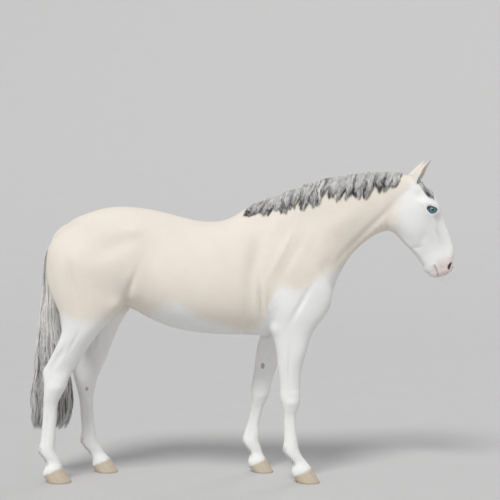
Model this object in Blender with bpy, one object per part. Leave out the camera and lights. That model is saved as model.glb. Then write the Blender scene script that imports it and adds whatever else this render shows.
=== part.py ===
# A horse standing still, life size: an adult riding horse, 1.63 m at the withers, facing +X. Metres, Z up.
import math

import bmesh
import bpy
import numpy as np

for thing in list(bpy.data.objects):
    bpy.data.objects.remove(thing)

# ---- the horse's sizes in metres
# sections along the trunk: middle x and z, reach up and down (square to the line of middles), half width, taper upwards
trunk = dict(
    buttock=(-1.000, 1.305, 0.224, 0.280, 0.185, 0.12),
    haunch=(-0.860, 1.332, 0.284, 0.312, 0.238, 0.16),
    hip=(-0.700, 1.335, 0.307, 0.300, 0.258, 0.15),
    loin=(-0.520, 1.300, 0.310, 0.322, 0.264, 0.16),
    lastRib=(-0.330, 1.240, 0.325, 0.345, 0.290, 0.18),
    middle=(-0.120, 1.215, 0.342, 0.350, 0.300, 0.22),
    girth=(0.060, 1.225, 0.378, 0.368, 0.268, 0.30),
    shoulder=(0.220, 1.225, 0.375, 0.368, 0.215, 0.28),
    breast=(0.360, 1.190, 0.270, 0.290, 0.195, 0.10),
)
neck = dict(
    root=(0.200, 1.360, 0.300, 0.250, 0.150, 0.30),
    base=(0.380, 1.475, 0.280, 0.302, 0.128, 0.34),
    lower=(0.520, 1.560, 0.252, 0.270, 0.104, 0.30),
    middle=(0.660, 1.620, 0.215, 0.219, 0.088, 0.24),
    upper=(0.800, 1.657, 0.190, 0.186, 0.079, 0.18),
    nape=(0.930, 1.667, 0.182, 0.176, 0.075, 0.14),
)
skull = dict(
    poll=(1.000, 1.735, 0.096, 0.110, 0.066, -0.04),
    brow=(1.045, 1.665, 0.130, 0.155, 0.093, -0.04),
    eye=(1.075, 1.590, 0.137, 0.185, 0.095, -0.02),
    cheek=(1.105, 1.515, 0.133, 0.170, 0.084, 0.06),
    face=(1.140, 1.435, 0.129, 0.142, 0.068, 0.12),
    nose=(1.170, 1.365, 0.122, 0.120, 0.055, 0.08),
    nostril=(1.195, 1.305, 0.103, 0.102, 0.056, -0.06),
    lip=(1.212, 1.266, 0.078, 0.082, 0.049, -0.04),
)
# sections up each leg: height, back x, front x, middle y, half width
foreRight = dict(
    heel=(0.034, 0.302, 0.440, 0.146, 0.053),
    coronet=(0.085, 0.299, 0.417, 0.146, 0.050),
    pastern=(0.122, 0.298, 0.388, 0.146, 0.037),
    fetlockLow=(0.150, 0.272, 0.366, 0.146, 0.038),
    fetlock=(0.190, 0.246, 0.346, 0.146, 0.040),
    fetlockTop=(0.235, 0.248, 0.338, 0.146, 0.036),
    cannonLow=(0.290, 0.250, 0.331, 0.146, 0.030),
    cannon=(0.350, 0.250, 0.328, 0.146, 0.029),
    cannonTop=(0.405, 0.248, 0.330, 0.146, 0.034),
    kneeLow=(0.445, 0.242, 0.345, 0.147, 0.045),
    knee=(0.485, 0.233, 0.352, 0.148, 0.050),
    kneeTop=(0.530, 0.227, 0.351, 0.150, 0.046),
    armLow=(0.590, 0.224, 0.352, 0.152, 0.047),
    arm=(0.680, 0.214, 0.363, 0.155, 0.056),
    armTop=(0.780, 0.204, 0.391, 0.155, 0.068),
    elbow=(0.880, 0.180, 0.424, 0.152, 0.078),
    upperArm=(1.000, 0.150, 0.500, 0.150, 0.088),
    shoulder=(1.130, 0.120, 0.535, 0.142, 0.092),
    blade=(1.270, 0.080, 0.470, 0.138, 0.090),
    bladeTop=(1.420, 0.030, 0.330, 0.105, 0.075),
    withers=(1.530, 0.000, 0.200, 0.060, 0.050),
)
foreLeft = dict(
    heel=(0.030, 0.044, 0.180, 0.146, 0.053),
    coronet=(0.080, 0.041, 0.152, 0.146, 0.050),
    pastern=(0.115, 0.046, 0.133, 0.146, 0.037),
    fetlockLow=(0.150, 0.026, 0.122, 0.146, 0.038),
    fetlock=(0.190, 0.004, 0.110, 0.146, 0.040),
    fetlockTop=(0.235, 0.010, 0.113, 0.146, 0.036),
    cannonLow=(0.290, 0.028, 0.112, 0.146, 0.030),
    cannon=(0.350, 0.044, 0.124, 0.146, 0.029),
    cannonTop=(0.405, 0.055, 0.139, 0.146, 0.034),
    kneeLow=(0.445, 0.060, 0.158, 0.147, 0.045),
    knee=(0.485, 0.058, 0.174, 0.148, 0.050),
    kneeTop=(0.530, 0.058, 0.185, 0.150, 0.046),
    armLow=(0.590, 0.068, 0.200, 0.152, 0.047),
    arm=(0.680, 0.080, 0.233, 0.155, 0.056),
    armTop=(0.780, 0.096, 0.286, 0.155, 0.068),
    elbow=(0.880, 0.120, 0.360, 0.152, 0.078),
    upperArm=(1.000, 0.120, 0.460, 0.150, 0.088),
    shoulder=(1.130, 0.100, 0.525, 0.142, 0.092),
    blade=(1.270, 0.070, 0.465, 0.138, 0.090),
    bladeTop=(1.420, 0.025, 0.330, 0.105, 0.075),
    withers=(1.530, 0.000, 0.200, 0.060, 0.050),
)
hindRight = dict(
    heel=(0.034, -1.178, -1.040, 0.146, 0.052),
    coronet=(0.088, -1.166, -1.058, 0.146, 0.049),
    pastern=(0.118, -1.160, -1.070, 0.146, 0.037),
    fetlockLow=(0.150, -1.180, -1.084, 0.146, 0.038),
    fetlock=(0.190, -1.202, -1.100, 0.146, 0.040),
    fetlockTop=(0.240, -1.194, -1.100, 0.146, 0.036),
    cannonLow=(0.310, -1.186, -1.097, 0.146, 0.031),
    cannon=(0.400, -1.179, -1.090, 0.146, 0.031),
    cannonTop=(0.470, -1.176, -1.083, 0.146, 0.037),
    hockLow=(0.515, -1.174, -1.062, 0.146, 0.047),
    hock=(0.565, -1.172, -1.034, 0.147, 0.051),
    hockTop=(0.615, -1.176, -1.018, 0.148, 0.046),
    hockPoint=(0.655, -1.175, -0.997, 0.150, 0.040),
    gaskinLow=(0.715, -1.146, -0.956, 0.154, 0.048),
    gaskin=(0.790, -1.106, -0.908, 0.160, 0.062),
    gaskinTop=(0.870, -1.070, -0.852, 0.164, 0.077),
    thighLow=(0.940, -1.062, -0.790, 0.162, 0.092),
    stifle=(1.020, -1.086, -0.716, 0.152, 0.110),
    thigh=(1.110, -1.130, -0.664, 0.138, 0.128),
    ham=(1.220, -1.164, -0.650, 0.124, 0.142),
    buttock=(1.340, -1.166, -0.660, 0.112, 0.132),
    rump=(1.450, -1.110, -0.700, 0.086, 0.084),
    croup=(1.520, -0.980, -0.760, 0.066, 0.044),
)
hindLeft = dict(
    heel=(0.026, -0.932, -0.800, 0.146, 0.052),
    coronet=(0.082, -0.928, -0.820, 0.146, 0.049),
    pastern=(0.112, -0.944, -0.846, 0.146, 0.037),
    fetlockLow=(0.150, -0.976, -0.870, 0.146, 0.038),
    fetlock=(0.190, -1.000, -0.892, 0.146, 0.040),
    fetlockTop=(0.240, -0.998, -0.904, 0.146, 0.036),
    cannonLow=(0.310, -1.001, -0.914, 0.146, 0.031),
    cannon=(0.400, -1.007, -0.919, 0.146, 0.031),
    cannonTop=(0.470, -1.016, -0.919, 0.146, 0.037),
    hockLow=(0.515, -1.026, -0.909, 0.146, 0.047),
    hock=(0.565, -1.040, -0.897, 0.147, 0.051),
    hockTop=(0.615, -1.054, -0.880, 0.148, 0.046),
    hockPoint=(0.655, -1.059, -0.862, 0.150, 0.040),
    gaskinLow=(0.715, -1.038, -0.836, 0.154, 0.048),
    gaskin=(0.790, -1.014, -0.808, 0.160, 0.062),
    gaskinTop=(0.870, -1.004, -0.777, 0.164, 0.077),
    thighLow=(0.940, -1.022, -0.742, 0.162, 0.092),
    stifle=(1.020, -1.066, -0.692, 0.152, 0.110),
    thigh=(1.110, -1.122, -0.650, 0.138, 0.128),
    ham=(1.220, -1.160, -0.640, 0.124, 0.142),
    buttock=(1.340, -1.164, -0.655, 0.112, 0.132),
    rump=(1.450, -1.110, -0.700, 0.086, 0.084),
    croup=(1.520, -0.980, -0.760, 0.066, 0.044),
)
# humps and hollows on both sides: x, |y|, z, reach along, across, up, tilt, height
forms = dict(
    hipBone=(-0.630, 0.245, 1.490, 0.060, 0.07, 0.045, 0, 0.015),
    hipHollow=(-0.730, 0.270, 1.405, 0.150, 0.10, 0.060, 24, -0.019),
    flankHollow=(-0.530, 0.290, 1.380, 0.080, 0.10, 0.100, -10, -0.018),
    gluteal=(-0.850, 0.130, 1.560, 0.200, 0.09, 0.100, 0, 0.010),
    croupGroove=(-0.860, 0.000, 1.640, 0.200, 0.022, 0.080, 0, -0.007),
    tailRoot=(-1.080, 0.000, 1.500, 0.070, 0.040, 0.050, 40, 0.008),
    croupEnd=(-1.025, 0.000, 1.560, 0.070, 0.090, 0.060, 38, 0.015),
    tailSide=(-1.135, 0.075, 1.440, 0.040, 0.030, 0.070, 0, -0.014),
    hamstring=(-1.060, 0.220, 1.220, 0.070, 0.09, 0.200, 12, 0.008),
    hamGroove=(-0.985, 0.280, 1.180, 0.022, 0.10, 0.190, 14, -0.013),
    hamSplit=(-1.110, 0.230, 1.180, 0.016, 0.09, 0.150, 12, -0.005),
    buttockRound=(-1.170, 0.260, 1.330, 0.110, 0.110, 0.200, 0, -0.034),
    crotch=(-1.120, 0.000, 1.130, 0.100, 0.030, 0.200, 0, -0.020),
    stifleCap=(-0.725, 0.235, 1.045, 0.045, 0.08, 0.045, 0, 0.013),
    flankFold=(-0.650, 0.250, 1.155, 0.018, 0.12, 0.100, -22, -0.013),
    flankEdge=(-0.620, 0.250, 1.100, 0.030, 0.12, 0.060, -22, 0.006),
    triceps=(0.235, 0.220, 1.060, 0.085, 0.09, 0.115, 20, 0.019),
    tricepsEdge=(0.118, 0.250, 1.090, 0.016, 0.10, 0.110, 4, -0.012),
    elbowCap=(0.190, 0.200, 0.905, 0.035, 0.06, 0.035, 0, 0.010),
    elbowFold=(0.130, 0.200, 0.900, 0.035, 0.08, 0.012, 40, -0.008),
    girthFold=(0.040, 0.230, 0.930, 0.040, 0.09, 0.010, 45, -0.005),
    armGroove=(0.350, 0.230, 1.060, 0.016, 0.08, 0.110, -30, -0.010),
    shoulderPoint=(0.455, 0.170, 1.125, 0.070, 0.08, 0.070, 0, 0.010),
    shoulderRound=(0.520, 0.270, 1.080, 0.110, 0.100, 0.200, 0, -0.030),
    bladeFront=(0.300, 0.200, 1.330, 0.025, 0.08, 0.180, -30, -0.006),
    bladeSpine=(0.235, 0.190, 1.350, 0.022, 0.08, 0.160, -28, 0.010),
    bladeRear=(0.085, 0.230, 1.330, 0.045, 0.10, 0.180, -12, -0.014),
    girthGroove=(0.055, 0.270, 1.080, 0.045, 0.10, 0.140, 0, -0.010),
    breastMuscle=(0.490, 0.095, 1.030, 0.100, 0.085, 0.120, 0, 0.021),
    breastGroove=(0.540, 0.000, 1.060, 0.130, 0.020, 0.160, 0, -0.018),
    breastFold=(0.430, 0.090, 0.925, 0.050, 0.070, 0.014, 50, -0.007),
    neckDip=(0.470, 0.110, 1.250, 0.035, 0.060, 0.100, -40, -0.010),
    jugular=(0.760, 0.090, 1.495, 0.230, 0.050, 0.020, 45, -0.013),
    windpipe=(0.680, 0.035, 1.370, 0.220, 0.040, 0.050, 45, 0.006),
    neckHollow=(0.400, 0.130, 1.560, 0.100, 0.07, 0.080, 30, -0.010),
    neckMuscle=(0.620, 0.110, 1.560, 0.180, 0.05, 0.060, 34, 0.008),
    withersHollow=(0.110, 0.120, 1.560, 0.080, 0.05, 0.060, 0, -0.006),
    throatFoldA=(0.880, 0.060, 1.500, 0.008, 0.05, 0.034, 12, -0.008),
    throatFoldB=(0.852, 0.060, 1.494, 0.008, 0.05, 0.030, 22, -0.007),
    throatFoldC=(0.822, 0.060, 1.484, 0.008, 0.05, 0.026, 32, -0.005),
    throatHollow=(0.900, 0.100, 1.610, 0.030, 0.05, 0.090, -12, -0.009),
    cheek=(1.010, 0.090, 1.505, 0.085, 0.035, 0.105, 25, 0.011),
    cheekFront=(1.086, 0.085, 1.430, 0.022, 0.04, 0.060, -20, -0.004),
    jawEdge=(1.010, 0.055, 1.395, 0.110, 0.025, 0.020, -44, 0.006),
    jawGap=(1.000, 0.000, 1.370, 0.130, 0.030, 0.045, -44, -0.022),
    jawLine=(1.048, 0.072, 1.388, 0.042, 0.03, 0.012, 8, -0.0045),
    browBone=(1.124, 0.094, 1.655, 0.036, 0.024, 0.016, -20, 0.012),
    socket=(1.142, 0.095, 1.612, 0.058, 0.045, 0.050, -20, 0.012),
    socketFront=(1.182, 0.076, 1.610, 0.024, 0.032, 0.044, -20, 0.008),
    templeHollow=(1.068, 0.090, 1.700, 0.030, 0.03, 0.026, -20, -0.010),
    foreheadEdge=(1.160, 0.060, 1.700, 0.060, 0.020, 0.016, -64, 0.004),
    cheekBone=(1.092, 0.100, 1.640, 0.050, 0.026, 0.013, -52, 0.006),
    tearHollow=(1.180, 0.078, 1.560, 0.030, 0.030, 0.012, -40, -0.005),
    faceCrest=(1.165, 0.080, 1.515, 0.068, 0.026, 0.011, -66, 0.011),
    faceHollow=(1.212, 0.070, 1.490, 0.085, 0.028, 0.022, -66, -0.010),
    underCrest=(1.128, 0.075, 1.430, 0.070, 0.034, 0.034, -60, -0.006),
    noseBone=(1.265, 0.032, 1.430, 0.110, 0.012, 0.014, -68, 0.007),
    noseSide=(1.232, 0.060, 1.395, 0.080, 0.03, 0.022, -68, -0.006),
    nostrilRim=(1.252, 0.052, 1.290, 0.040, 0.022, 0.034, -66, 0.009),
    nostrilBack=(1.222, 0.062, 1.310, 0.010, 0.018, 0.030, -20, -0.003),
    earRoot=(1.045, 0.058, 1.755, 0.034, 0.024, 0.034, 0, 0.014),
    lipGroove=(1.268, 0.000, 1.262, 0.030, 0.005, 0.040, -30, -0.003),
    lipUpper=(1.235, 0.035, 1.240, 0.030, 0.030, 0.026, -30, 0.006),
    lipCorner=(1.160, 0.055, 1.285, 0.014, 0.02, 0.014, 0, 0.004),
    chin=(1.120, 0.000, 1.250, 0.040, 0.036, 0.032, -30, 0.016),
    chinGroove=(1.092, 0.000, 1.275, 0.018, 0.08, 0.022, 20, -0.008),
)
# the same on each leg, from its own middle: x, |y|, z, reach along, across, up, height
foreForms = dict(
    tendonGroove=(-0.004, 0.032, 0.340, 0.007, 0.020, 0.080, -0.006),
    fetlockGroove=(-0.010, 0.040, 0.225, 0.008, 0.020, 0.030, -0.004),
    sesamoid=(-0.036, 0.022, 0.192, 0.018, 0.014, 0.020, 0.006),
    pasternHollow=(-0.040, 0.000, 0.130, 0.016, 0.014, 0.018, -0.006),
    heelBulb=(-0.050, 0.022, 0.062, 0.020, 0.018, 0.018, 0.006),
    kneeBack=(-0.050, 0.004, 0.505, 0.018, 0.020, 0.026, 0.008),
    kneeSide=(0.000, 0.048, 0.470, 0.026, 0.016, 0.020, 0.004),
    kneeCrease=(0.030, 0.030, 0.452, 0.030, 0.030, 0.006, -0.003),
    kneeRim=(0.030, 0.030, 0.530, 0.030, 0.030, 0.010, 0.003),
    armGroove=(-0.008, 0.060, 0.690, 0.008, 0.026, 0.100, -0.007),
    armBulge=(0.040, 0.040, 0.790, 0.035, 0.030, 0.070, 0.008),
)
hindForms = dict(
    tendonGroove=(-0.004, 0.034, 0.350, 0.007, 0.020, 0.090, -0.006),
    fetlockGroove=(-0.010, 0.040, 0.225, 0.008, 0.020, 0.030, -0.004),
    sesamoid=(-0.038, 0.022, 0.192, 0.018, 0.014, 0.020, 0.006),
    pasternHollow=(-0.040, 0.000, 0.130, 0.016, 0.014, 0.018, -0.006),
    heelBulb=(-0.050, 0.022, 0.060, 0.020, 0.018, 0.018, 0.006),
    achilles=(-0.040, 0.050, 0.735, 0.020, 0.026, 0.060, -0.017),
    hockCap=(-0.078, 0.000, 0.655, 0.018, 0.020, 0.020, 0.006),
    hockSide=(0.010, 0.050, 0.560, 0.030, 0.016, 0.022, 0.004),
    hockHollow=(-0.030, 0.048, 0.610, 0.016, 0.016, 0.024, -0.006),
    hockFold=(0.055, 0.020, 0.585, 0.020, 0.030, 0.007, -0.003),
    gaskinGroove=(0.000, 0.070, 0.830, 0.008, 0.030, 0.080, -0.006),
    gaskinBulge=(0.035, 0.050, 0.880, 0.040, 0.040, 0.070, 0.006),
)
eyeball = dict(x=1.142, y=0.0745, z=1.616, r=0.0290)


# natural cubic spline through the values at places t, read at `at`
def splineThrough(t, values, at):
    t, values = np.asarray(t, float), np.asarray(values, float)
    h, n = np.diff(t), len(t)
    a, b = np.eye(n), np.zeros(n)
    for i in range(1, n - 1):
        a[i, i - 1:i + 2] = h[i - 1], 2 * (h[i - 1] + h[i]), h[i]
        b[i] = 6 * ((values[i + 1] - values[i]) / h[i] - (values[i] - values[i - 1]) / h[i - 1])
    m = np.linalg.solve(a, b)
    at = np.clip(at, t[0], t[-1])
    i = np.clip(np.searchsorted(t, at) - 1, 0, n - 2)
    u, v, hi = at - t[i], t[i + 1] - at, h[i]
    return (m[i] * v ** 3 + m[i + 1] * u ** 3) / (6 * hi) \
        + (values[i] / hi - m[i] * hi / 6) * v + (values[i + 1] / hi - m[i + 1] * hi / 6) * u


# the union of two fields, with a fillet about k wide where they meet
def blended(a, b, k):
    h = np.maximum(k - np.abs(a - b), 0) / k
    return np.minimum(a, b) - h * h * k / 4


# field a with field b cut from it, its edge rounded over k
def carved(a, b, k):
    h = np.maximum(k - np.abs(a + b), 0) / k
    return np.maximum(a, -b) + h * h * k / 4


# rough distance to a rounded profile: v, u and o are the place as a share of its reach up, across and past the end
def profile(v, u, o, reach, wide, cap, e):
    v, u = np.abs(v), np.abs(u)
    rho = np.maximum((v ** e + u ** e + o ** e) ** (1 / e), 0.05)
    slope = np.sqrt((v ** (e - 1) / reach) ** 2 + (u ** (e - 1) / wide) ** 2 + (o ** (e - 1) / cap) ** 2)
    slope = np.maximum(slope * rho ** (1 - e), 0.5 / np.maximum(reach, wide))
    return (rho - 1) / slope


# a profile carried along the spline through the sections' middles
def tubeField(sections, x, y, z, e, caps):
    rows = np.array(list(sections.values()), float)
    length = np.concatenate([[0], np.cumsum(np.hypot(*np.diff(rows[:, :2], axis=0).T))])
    at = np.linspace(0, length[-1], 6 * len(rows))
    px, pz, up, down, wide, taper = (splineThrough(length, c, at) for c in rows.T)
    s = np.zeros(np.broadcast(x, z).shape)
    n, over, best = s.copy(), s.copy(), s + 1e9
    for i in range(len(at) - 1):
        dx, dz, step = px[i + 1] - px[i], pz[i + 1] - pz[i], at[i + 1] - at[i]
        seg = math.hypot(dx, dz)
        along = ((x - px[i]) * dx + (z - pz[i]) * dz) / seg
        side = ((z - pz[i]) * dx - (x - px[i]) * dz) / seg
        held = np.clip(along, -1e9 if i == 0 else 0, 1e9 if i == len(at) - 2 else seg)
        far = (along - held) ** 2 + side ** 2
        closer = far < best
        best = np.where(closer, far, best)
        s = np.where(closer, at[i] + np.clip(along, 0, seg) / seg * step, s)
        n = np.where(closer, np.sign(side) * np.sqrt(far), n)
        past = np.maximum(-along, 0) / caps[0] * (i == 0) + np.maximum(along - seg, 0) / caps[1] * (i == len(at) - 2)
        over = np.where(closer, past, over)
    up, down, wide, taper = (np.interp(s, at, c) for c in (up, down, wide, taper))
    reach = np.where(n > 0, up, down)
    v = n / reach
    wide = wide * (1 - taper * np.clip(v, -1.15, 1.15))
    return profile(v, y / wide, over, reach, wide, np.where(s < at[-1] / 2, caps[0], caps[1]), e)


# level sections stacked up a leg, with the leg's own humps and hollows
def limbField(sections, marks, x, y, z, e, cap):
    rows = np.array(sorted(sections.values()), float)
    back, front, mid, wide = (splineThrough(rows[:, 0], c, z) for c in rows.T[1:])
    low, high = rows[0, 0], rows[-1, 0]
    over = np.maximum(z - high, 0) / cap + np.maximum(low - z, 0) / 0.02
    deep, u, w = (front - back) / 2, x - (front + back) / 2, y - mid
    f = profile(u / deep, w / wide, over, deep, wide, np.where(z > high, cap, 0.02), e)
    for a, b, c, i, j, k, height in marks.values():
        f = f - height * np.exp(-((u - a) / i) ** 2 - ((z - c) / k) ** 2) * np.exp(-((np.abs(w) - b) / j) ** 2)
    return f


# subtracts a smooth hump, worked out only where it counts
def addHump(f, axes, row):
    cx, cy, cz, a, b, c, tilt, height = row
    reach = 3 * max(a, c)
    ix = np.nonzero(np.abs(axes[0] - cx) < reach)[0]
    iy = np.nonzero(np.abs(np.abs(axes[1]) - cy) < 3 * b)[0]
    iz = np.nonzero(np.abs(axes[2] - cz) < reach)[0]
    if len(ix) * len(iy) * len(iz) == 0:
        return
    co, si = math.cos(math.radians(tilt)), math.sin(math.radians(tilt))
    dx, dz = axes[0][ix][:, None] - cx, axes[2][iz][None, :] - cz
    flat = np.exp(-((dx * co + dz * si) / a) ** 2 - ((dz * co - dx * si) / c) ** 2)
    across = np.exp(-((np.abs(axes[1][iy]) - cy) / b) ** 2)
    f[np.ix_(ix, iy, iz)] -= height * flat[:, None, :] * across[None, :, None]


# blends a leg into the field, worked out only round the leg
def addLeg(f, axes, sections, marks, side, e, cap, k):
    rows = np.array(list(sections.values()))
    ix = np.nonzero((axes[0] > rows[:, 1].min() - 0.16) & (axes[0] < rows[:, 2].max() + 0.16))[0]
    iy = np.nonzero((axes[1] * side > -0.12))[0]
    iz = np.nonzero(axes[2] < rows[:, 0].max() + cap + 0.12)[0]
    x, y, z = axes[0][ix][:, None, None], axes[1][iy][None, :, None] * side, axes[2][iz][None, None, :]
    at = np.ix_(ix, iy, iz)
    f[at] = blended(f[at], limbField(sections, marks, x, y, z, e, cap), k)


def bodyField(axes):
    x, y, z = axes[0][:, None, None], axes[1][None, :, None], axes[2][None, None, :]
    f = tubeField(trunk, x, y, z, 2.15, (0.165, 0.205))
    f = blended(f, tubeField(neck, x, y, z, 2.1, (0.10, 0.10)), 0.10)
    f = blended(f, tubeField(skull, x, y, z, 2.4, (0.085, 0.050)), 0.045)
    addLeg(f, axes, foreRight, foreForms, -1, 2.25, 0.06, 0.035)
    addLeg(f, axes, foreLeft, foreForms, 1, 2.25, 0.06, 0.035)
    addLeg(f, axes, hindRight, hindForms, -1, 2.2, 0.05, 0.045)
    addLeg(f, axes, hindLeft, hindForms, 1, 2.2, 0.05, 0.045)
    for row in forms.values():
        addHump(f, axes, row)
    headDetail(f, axes)
    return f


# nostril: 1 on the edge of a bent oval opening, wide below and narrow above
def nostrilRing(x, y, z):
    along, across = turned(x - 1.2555, z - 1.2805, 66)
    across = -across - 5 * along ** 2
    wide = 0.0100 - 0.13 * np.clip(along, -0.03, 0.03)
    return np.sqrt((along / 0.026) ** 2 + (across / wide) ** 2 + ((np.abs(y) - 0.060 + 0.5 * (x - 1.2555)) / 0.024) ** 2)


# nostrils, mouth and the swelling over each eye
def headDetail(f, axes):
    ix = np.nonzero(axes[0] > 1.05)[0]
    iz = np.nonzero((axes[2] > 1.16) & (axes[2] < 1.72))[0]
    at = np.ix_(ix, np.arange(len(axes[1])), iz)
    x, y, z = axes[0][ix][:, None, None], np.abs(axes[1])[None, :, None], axes[2][iz][None, None, :]
    g = f[at]
    hole = nostrilRing(x, y, z)
    rim = np.exp(-((hole - 1.38) / 0.30) ** 2) * (y > 0.01)
    g = carved(g - 0.0042 * rim, (hole - 1) * 0.011, 0.006)
    # mouth: a groove on both sides, from the front of the lips up to the corner
    along, across = turned(x - 1.176, z - 1.250, -68)
    across = across + 1.8 * along ** 2 - 0.002
    fade = np.clip((0.046 + along) / 0.03, 0, 1) * np.clip((0.075 - along) / 0.02, 0, 1)
    g = g + 0.0040 * np.exp(-(across / 0.0070) ** 2) * fade * np.clip((y - 0.004) / 0.02, 0, 1)
    e = eyeball
    far = np.sqrt((x - e["x"]) ** 2 + (y - e["y"]) ** 2 + (z - e["z"]) ** 2)
    g = blended(g, far - e["r"] - 0.0045, 0.024)
    f[at] = g


# places turned by an angle in the plane of the body
def turned(dx, dz, angle):
    c, s = math.cos(math.radians(angle)), math.sin(math.radians(angle))
    return dx * c + dz * s, dz * c - dx * s


# where the field's sign differs along one diagonal of a grid square only, the surface would touch itself:
# the corner nearest to nought changes sign
def untangled(f):
    for _ in range(6):
        s = f < 0
        found = 0
        for a, b in ((0, 1), (1, 2), (0, 2)):
            cut = [[slice(None)] * 3 for _ in range(4)]
            for k, (i, j) in enumerate(((0, 0), (1, 1), (1, 0), (0, 1))):
                cut[k][a] = slice(1, None) if i else slice(None, -1)
                cut[k][b] = slice(1, None) if j else slice(None, -1)
            s0, s1, s2, s3 = (s[tuple(c)] for c in cut)
            for place in np.argwhere((s0 == s1) & (s2 == s3) & (s0 != s2)):
                corners = [place.copy() for _ in range(4)]
                corners[1][[a, b]] += 1
                corners[2][a] += 1
                corners[3][b] += 1
                near = min(corners, key=lambda c: abs(f[tuple(c)]))
                f[tuple(near)] = -1e-6 if f[tuple(near)] >= 0 else 1e-6
                found += 1
        if not found:
            break
    return f


# the surface where the field is nought: a point for each cell it crosses, a face for each grid edge it crosses
def surfaceNet(f, axes):
    f = untangled(f)
    n = np.array(f.shape)
    cells, places, faces = [], [], []
    one = np.eye(3, dtype=int)
    for a in range(3):
        b, c = (a + 1) % 3, (a + 2) % 3
        f0 = f[tuple(slice(None, -1) if i == a else slice(None) for i in range(3))]
        f1 = f[tuple(slice(1, None) if i == a else slice(None) for i in range(3))]
        index = np.argwhere((f0 < 0) != (f1 < 0))
        index = index[(index[:, b] > 0) & (index[:, c] > 0) & (index[:, b] < n[b] - 1) & (index[:, c] < n[c] - 1)]
        va, vb = f[tuple(index.T)], f[tuple((index + one[a]).T)]
        place = index + (va / (va - vb))[:, None] * one[a]
        ring = np.stack([index, index - one[b], index - one[b] - one[c], index - one[c]], 1)
        key = (ring[..., 0] * n[1] + ring[..., 1]) * n[2] + ring[..., 2]
        faces.append(np.where((va < 0)[:, None], key, key[:, ::-1]))
        cells.append(key.ravel())
        places.append(np.repeat(place, 4, axis=0))
    cells, places, faces = (np.concatenate(p) for p in (cells, places, faces))
    kept, which = np.unique(cells, return_inverse=True)
    count = np.bincount(which)
    points = np.stack([np.bincount(which, places[:, i]) / count for i in range(3)], 1)
    points = np.stack([np.interp(points[:, i], np.arange(n[i]), axes[i]) for i in range(3)], 1)
    return points, np.searchsorted(kept, faces)


# the field and its slope at points, by linear weights between the grid's corners
def readField(f, axes, points):
    index, part = [], []
    for i in range(3):
        k = np.clip(np.searchsorted(axes[i], points[:, i]) - 1, 0, len(axes[i]) - 2)
        index.append(k)
        part.append((points[:, i] - axes[i][k]) / (axes[i][k + 1] - axes[i][k]))
    value, slope = 0, np.zeros((len(points), 3))
    for corner in np.ndindex(2, 2, 2):
        v = f[index[0] + corner[0], index[1] + corner[1], index[2] + corner[2]]
        w = [part[i] if corner[i] else 1 - part[i] for i in range(3)]
        value = value + v * w[0] * w[1] * w[2]
        for i in range(3):
            step = axes[i][index[i] + 1] - axes[i][index[i]]
            slope[:, i] += (1 if corner[i] else -1) * v * w[(i + 1) % 3] * w[(i + 2) % 3] / step
    return value, slope


# evens out the points along the surface, then sets them back on it
def relaxed(points, faces, f, axes, rounds):
    ends = np.concatenate([faces[:, [i, (i + 1) % 4]] for i in range(4)])
    count = np.maximum(np.bincount(ends[:, 0], minlength=len(points)), 1)
    for _ in range(rounds):
        mean = np.stack([np.bincount(ends[:, 0], points[ends[:, 1], i], len(points)) for i in range(3)], 1)
        points = 0.4 * points + 0.6 * mean / count[:, None]
        value, slope = readField(f, axes, points)
        points = points - value[:, None] * slope / np.maximum((slope ** 2).sum(1), 0.2)[:, None]
    return points


def meshObject(name, points, faces):
    me = bpy.data.meshes.new(name)
    me.from_pydata(points.tolist(), [], faces.tolist())
    me.shade_smooth()
    ob = bpy.data.objects.new(name, me)
    bpy.context.scene.collection.objects.link(ob)
    return ob


# places to read the field: coarse on the body, finer at the head, finest at eye, nostril and mouth
def gridAxes(step, fine, finest):
    def places(*parts):
        return np.concatenate([np.linspace(a, b, max(1, round((b - a) / s)), endpoint=False) for a, b, s in parts])
    xs = places((-1.26, 0.82, step), (0.82, 1.10, fine), (1.10, 1.19, finest), (1.19, 1.34, (fine + finest) / 2))
    zs = places((-0.02, 1.17, step), (1.17, 1.34, (fine + finest) / 2), (1.34, 1.58, fine), (1.58, 1.655, finest),
                (1.655, 1.95, (step + fine) / 2))
    half = places((0, 0.125, fine), (0.125, 0.37, step)) + fine / 2
    return xs, np.concatenate([-half[::-1], half]), zs



bodyTriangles = 4550
gridStep, gridFine, gridFinest = 0.014, 0.006, 0.005
gap = 0.0004                     # air between neighbouring solids
# ground heel and toe, coronet heel and toe (x, then height), half width at the ground and at the coronet
hooves = dict(
    foreRight=(0.332, 0.468, 0.303, 0.415, 0.039, 0.089, 0.064, 0.052),
    foreLeft=(0.068, 0.199, 0.043, 0.150, 0.032, 0.084, 0.064, 0.052),
    hindRight=(-1.145, -1.006, -1.176, -1.062, 0.036, 0.092, 0.062, 0.051),
    hindLeft=(-0.897, -0.767, -0.930, -0.822, 0.029, 0.086, 0.062, 0.051),
)
hoofY = 0.146
ear = dict(x=1.022, y=0.044, z=1.742, tipX=1.147, tipY=0.068, tipZ=1.930, farBack=0.024, wide=0.032, deep=0.042,
           thick=0.0045)
# level sections up the tail: height, back x, front x, half width
tailRows = dict(
    end=(0.290, -1.285, -1.040, 0.060),
    switch=(0.400, -1.301, -1.010, 0.080),
    low=(0.550, -1.284, -1.022, 0.084),
    hock=(0.700, -1.264, -1.050, 0.084),
    middle=(0.850, -1.250, -1.084, 0.078),
    upper=(1.000, -1.230, -1.108, 0.070),
    high=(1.150, -1.215, -1.118, 0.061),
    dock=(1.300, -1.210, -1.118, 0.053),
    dockTop=(1.400, -1.193, -1.094, 0.046),
    root=(1.480, -1.150, -1.054, 0.036),
)
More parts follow.
